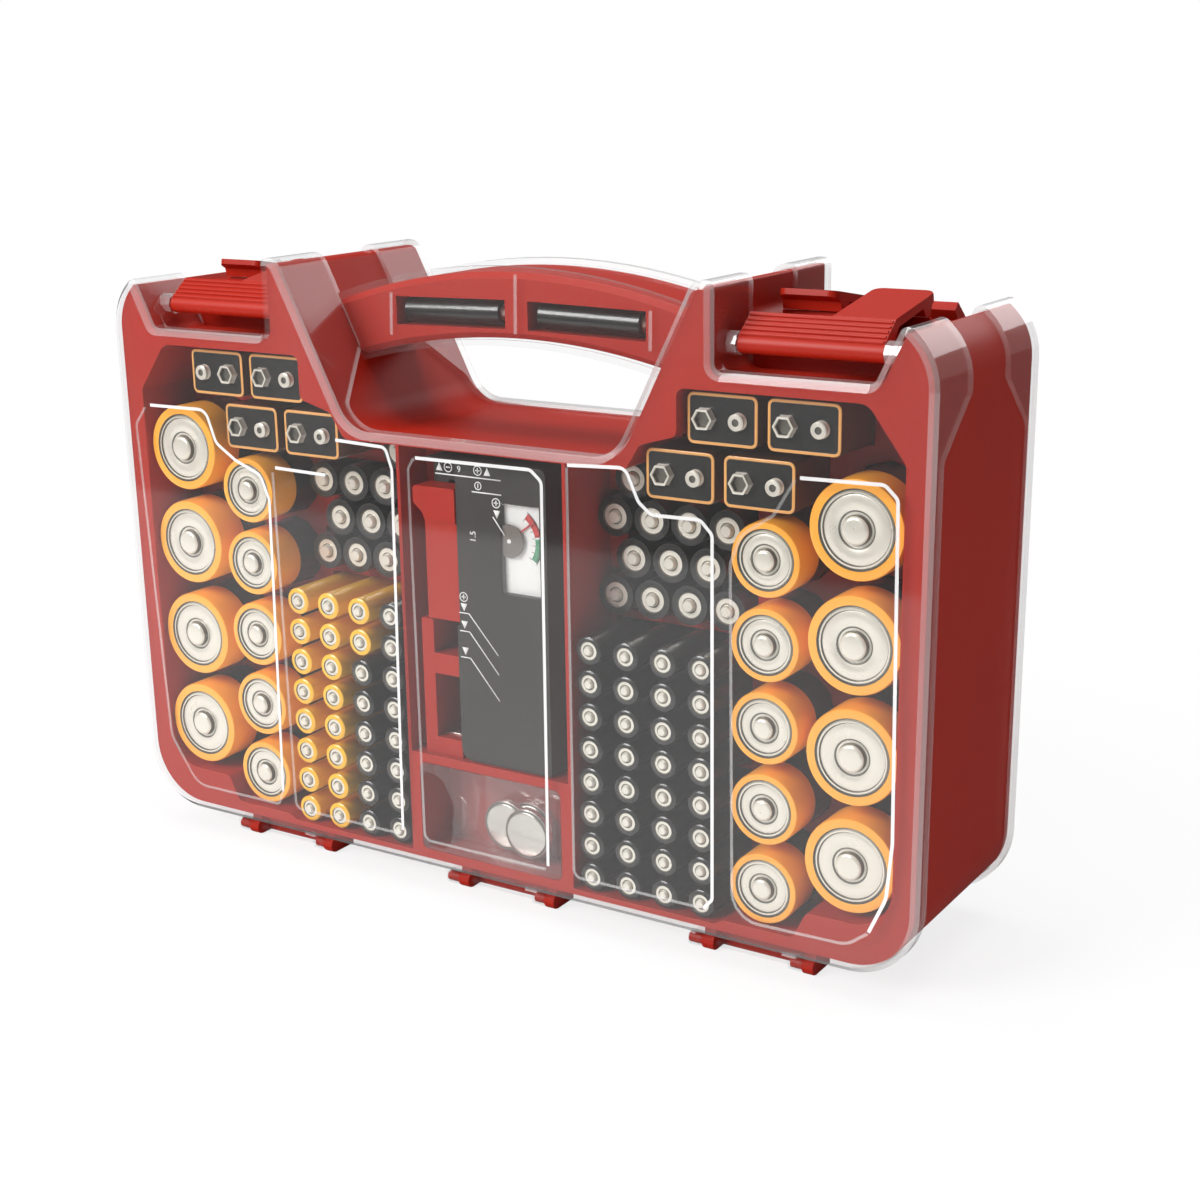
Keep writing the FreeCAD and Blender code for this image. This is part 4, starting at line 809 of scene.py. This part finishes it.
def stroke(points, width=LINE, closed=False):
    """A line of ink: two rows of points half a width either side of the path."""
    path = np.array(points, dtype=float)
    ahead = np.roll(path, -1, 0) - np.roll(path, 1, 0)
    if not closed:
        ahead[0], ahead[-1] = path[1] - path[0], path[-1] - path[-2]
    normal = np.stack([-ahead[:, 1], ahead[:, 0]], 1)
    normal *= width / 2 / np.linalg.norm(ahead, axis=1, keepdims=True)
    rows = np.concatenate([path - normal, path + normal])
    n, last = len(path), len(path) if closed else len(path) - 1
    k = np.arange(last)
    return rows, np.stack([k, (k + 1) % n, (k + 1) % n + n, k + n], 1).tolist()


def ring(x, z, r=1.7):
    """A printed circle: a closed stroke through (x + r cos a, z + r sin a)."""
    a = np.arange(RING_POINTS) * 2 * np.pi / RING_POINTS
    return stroke(np.stack([x + r * np.cos(a), z + r * np.sin(a)], 1), THIN_LINE, True)


def pointer(x, z, way):
    """A filled triangle about (x, z) that points up, or down where way is -1."""
    r = POINTER_HALF
    return (np.array([(x - r, z - way * r), (x + r, z - way * r), (x, z + way * r)]),
            [[0, 1, 2]])


def sign(x, z, plus):
    """A circled minus, or plus where the flag is set."""
    marks = [ring(x, z), stroke([(x - 1, z), (x + 1, z)])]
    return marks + ([stroke([(x, z - 1), (x, z + 1)])] if plus else [])


# The contacts for block cells at the top: pointers, a minus, a plus and two rules.
TOP_Z = 168.0
PLUS_X = -1.4
marks = [pointer(-18.6, TOP_Z, 1), pointer(2.8, TOP_Z, 1)]
marks += sign(-14.6, TOP_Z, False) + sign(PLUS_X, TOP_Z, True)
marks += [stroke([(-20.5, 165.3), (8.8, 165.3)]), ring(PLUS_X, 162.4, 1.4),
          stroke([(PLUS_X, 161.6), (PLUS_X, 163.2)], 0.4),
          stroke([(-4.2, 160.0), (8.8, 160.0)])]
# The contact for the smallest cells, beside the meter.
marks += sign(6.4, 156.8, True) + [pointer(6.6, 152.6, -1)]
marks += [stroke([(4.8, 151.6), (9.8, 145.2)])]
# The three ledges for round cells down the left edge: a plus, pointers and leaders.
LEFT = -9.6
marks += sign(LEFT, 119.6, True) + [pointer(LEFT, z, -1) for z in (115.6, 108.8, 98.6)]
for z, end in ((113.4, 99.0), (106.4, 91.6), (96.2, 81.4)):
    marks.append(stroke([(LEFT - 2.2, z), (LEFT + 2.2, z), (LEFT + 15.0, end)]))
verts, faces = [], []
for points, polygons in marks:
    base = sum(len(v) for v in verts)
    verts.append(points)
    faces += [[base + i for i in polygon] for polygon in polygons]
flat = np.concatenate(verts)
mesh = bpy.data.meshes.new("tester_marks")
mesh.from_pydata((np.insert(flat, 1, MARK_Y, axis=1) * MM).tolist(), [], faces)
printed(mesh, "tester_marks", ink_white)

# Piece, text, x and z of its start, size and turn in the plane of the front.
NUMERALS = (("nine", "9", -10.6, 166.6, 3.4, 0.0), ("low", "1.5", -3.2, 141.0, 3.6, -90.0))
for name, text, x, z, size, turn in NUMERALS:
    letters = bpy.data.curves.new("numeral_" + name, "FONT")
    letters.body = text
    letters.size = size * MM
    letters.extrude = INK_MM / 2 * MM
    draft = bpy.data.objects.new("draft", letters)
    scene.collection.objects.link(draft)
    bpy.context.view_layer.update()
    solid = bpy.data.meshes.new_from_object(draft)
    bpy.data.objects.remove(draft)
    solid.transform(Matrix.Translation((x * MM, MARK_Y * MM, z * MM))
                    @ Matrix.Rotation(math.radians(turn), 4, "Y")
                    @ Matrix.Rotation(math.radians(90), 4, "X"))
    finish_mesh(solid, "numeral_" + name, [ink_white], "case", [])

# ------------------------------------------------------------------ coin drawer
# A clear polystyrene box for coin cells slides into the bay under the tester, and
# spare coin cells stand in it, one behind the other.

softened("coin_drawer", "coin_drawer_moulding", 0.5, "case",
                 clear("clear_polystyrene_drawer", 0.006, 0.02, 0.08, 1.2), segments=3)
# A coin cell, back to front: can, rolled rim, gasket groove and the smaller end plate.
COIN = [(9.4, 3.2), (10.0, 2.8), (10.0, 0.7), (9.6, 0.35), (9.1, 0.5), (8.7, 0.1),
        (8.2, 0.0)]
# Band 1, the darker steel, is painted shade in the gasket groove.
COIN_BANDS = [0, 0, 0, 1, 1, 0]
COIN_AT = [(8.5, -28.7, 27.2), (-0.5, -31.95, 27.2), (11.5, -35.2, 27.2)]
COIN_SIDES = 48
turned("coin_cells_pressed", COIN, COIN_BANDS, COIN_AT, COIN_SIDES,
       [bright_steel, nickel_painted_shade], "case", ["coin_cells"])
softened("test_contact", "test_contact_strip", 0.1, "case", bright_steel)

# ------------------------------------------------------------------ floor and light
# A sheet of white paper lies under the case, in a white room with three soft boxes: a
# key from the front left, one from above and a faint one from behind.

# White paper takes the shadow near the case. It passes into plain white: by FADE_START
# within FADE_NEAR metres of the middle, and wholly from FADE_FAR on. Gloss sees a bright
# card on the floor in front of the case, where CARD_Y gives the middle and the half
# width in Y, and a floor of brightness CARD_ROUND about it.
FLOOR_HALF = 6.0
FADE_NEAR = 0.1
FADE_FAR = 0.42
FADE_START = 0.8
CARD_Y = (-0.29, 0.24)
CARD_ROUND = 0.1
WHITE = linear("#FFFFFF")
material, tree, out = fresh("matt_paper_white")
place = add(tree, "ShaderNodeTexCoord")
reach = add(tree, "ShaderNodeVectorMath", {"operation": "LENGTH"}, i0=(place, "Object"))
fade = add(tree, "ShaderNodeMapRange", {"interpolation_type": "SMOOTHSTEP"},
           Value=(reach, "Value"), From_Min=FADE_NEAR, From_Max=FADE_FAR,
           To_Min=FADE_START, To_Max=1.0)
paper = add(tree, "ShaderNodeBsdfDiffuse", Color=WHITE)
open_air = add(tree, "ShaderNodeBsdfTransparent", Color=WHITE)
seen = add(tree, "ShaderNodeLightPath")
direct = add(tree, "ShaderNodeMath", {"operation": "MAXIMUM"}, i0=(seen, "Is Camera Ray"),
             i1=(seen, "Is Transmission Ray"))
weight = add(tree, "ShaderNodeMath", {"operation": "MULTIPLY"}, i0=(direct, "Value"),
             i1=(fade, "Result"))
mixed = add(tree, "ShaderNodeMixShader", Fac=(weight, "Value"), i1=(paper, "BSDF"),
            i2=(open_air, "BSDF"))
part = add(tree, "ShaderNodeSeparateXYZ", Vector=(place, "Object"))
on_card = add(tree, "ShaderNodeMath", {"operation": "COMPARE"}, i0=(part, "Y"),
              i1=CARD_Y[0], i2=CARD_Y[1])
card = add(tree, "ShaderNodeMapRange", Value=(on_card, "Value"), To_Min=CARD_ROUND,
           To_Max=1.0)
mirrored = add(tree, "ShaderNodeEmission", Color=WHITE, Strength=(card, "Result"))
final = add(tree, "ShaderNodeMixShader", Fac=(seen, "Is Glossy Ray"), i1=(mixed, "Shader"),
            i2=(mirrored, "Emission"))
tree.links.new(final.outputs["Shader"], out.inputs["Surface"])
corners = [(-FLOOR_HALF, -FLOOR_HALF, 0.0), (FLOOR_HALF, -FLOOR_HALF, 0.0),
           (FLOOR_HALF, FLOOR_HALF, 0.0), (-FLOOR_HALF, FLOOR_HALF, 0.0)]
mesh = bpy.data.meshes.new("floor")
mesh.from_pydata(corners, [], [(0, 1, 2, 3)])
mesh.materials.append(material)
floor = bpy.data.objects.new("floor", mesh)
scene.collection.objects.link(floor)

# The room: white to the camera, a little of that white to gloss, and dim as a light.
DIM = 0.16
GLOSS_SHARE = 0.12
world = bpy.data.worlds.new("studio")
scene.world = world
world.use_nodes = True
tree = world.node_tree
tree.nodes.clear()
seen = add(tree, "ShaderNodeLightPath")
dim = add(tree, "ShaderNodeBackground", Color=WHITE, Strength=DIM)
bright = add(tree, "ShaderNodeBackground", Color=WHITE, Strength=1.0)
gloss = add(tree, "ShaderNodeMath", {"operation": "MULTIPLY"}, i0=(seen, "Is Glossy Ray"),
            i1=GLOSS_SHARE)
direct = add(tree, "ShaderNodeMath", {"operation": "MAXIMUM"}, i0=(seen, "Is Camera Ray"),
             i1=(seen, "Is Transmission Ray"))
weight = add(tree, "ShaderNodeMath", {"operation": "MAXIMUM"}, i0=(direct, "Value"),
             i1=(gloss, "Value"))
choice = add(tree, "ShaderNodeMixShader", Fac=(weight, "Value"), i1=(dim, "Background"),
             i2=(bright, "Background"))
out = add(tree, "ShaderNodeOutputWorld", Surface=(choice, "Shader"))


def soft_box(name, place, target, size, power):
    """A rectangular lamp at place, of this power in watts, that shines along its own -Z
    towards the target; its sides are level and upright."""
    lamp = bpy.data.lights.new(name, "AREA")
    lamp.shape = "RECTANGLE"
    lamp.size, lamp.size_y = size
    lamp.energy = power
    item = bpy.data.objects.new(name, lamp)
    scene.collection.objects.link(item)
    back = np.array(place) - np.array(target)
    back /= np.linalg.norm(back)
    right = np.cross((0, 0, 1), back)
    right /= np.linalg.norm(right)
    columns = np.stack([right, np.cross(back, right), back, place], 1).tolist()
    item.matrix_world = Matrix(columns + [[0, 0, 0, 1]])


soft_box("key", (-0.7, -1.3, 1.0), (0, 0, 0.12), (0.9, 0.7), 29)
soft_box("top", (0.0, 0.1, 1.5), (0, 0, 0.1), (1.4, 0.8), 15)
soft_box("back", (0.4, 1.5, 0.9), (0, 0, 0.12), (0.9, 0.7), 4)

# ------------------------------------------------------------------ camera
# A long lens, to the right of the case and a little above it. Its focal length and its
# place were fitted to the rims and rows of the cells.

FOCAL_PX = 1916.01
FRAME_PX = 1200
SENSOR_MM = 36.0
camera_data = bpy.data.cameras.new("camera")
camera_data.sensor_width = SENSOR_MM
camera_data.lens = FOCAL_PX / FRAME_PX * SENSOR_MM
camera = bpy.data.objects.new("camera", camera_data)
scene.collection.objects.link(camera)
# Columns: the camera's right, up and back, and its place.
camera.matrix_world = Matrix((
    (0.845038, -0.131001, 0.518411, 0.400535),
    (0.534476, 0.235404, -0.811739, -0.589579),
    (-0.015697, 0.963028, 0.268942, 0.308313),
    (0, 0, 0, 1),
))
scene.camera = camera
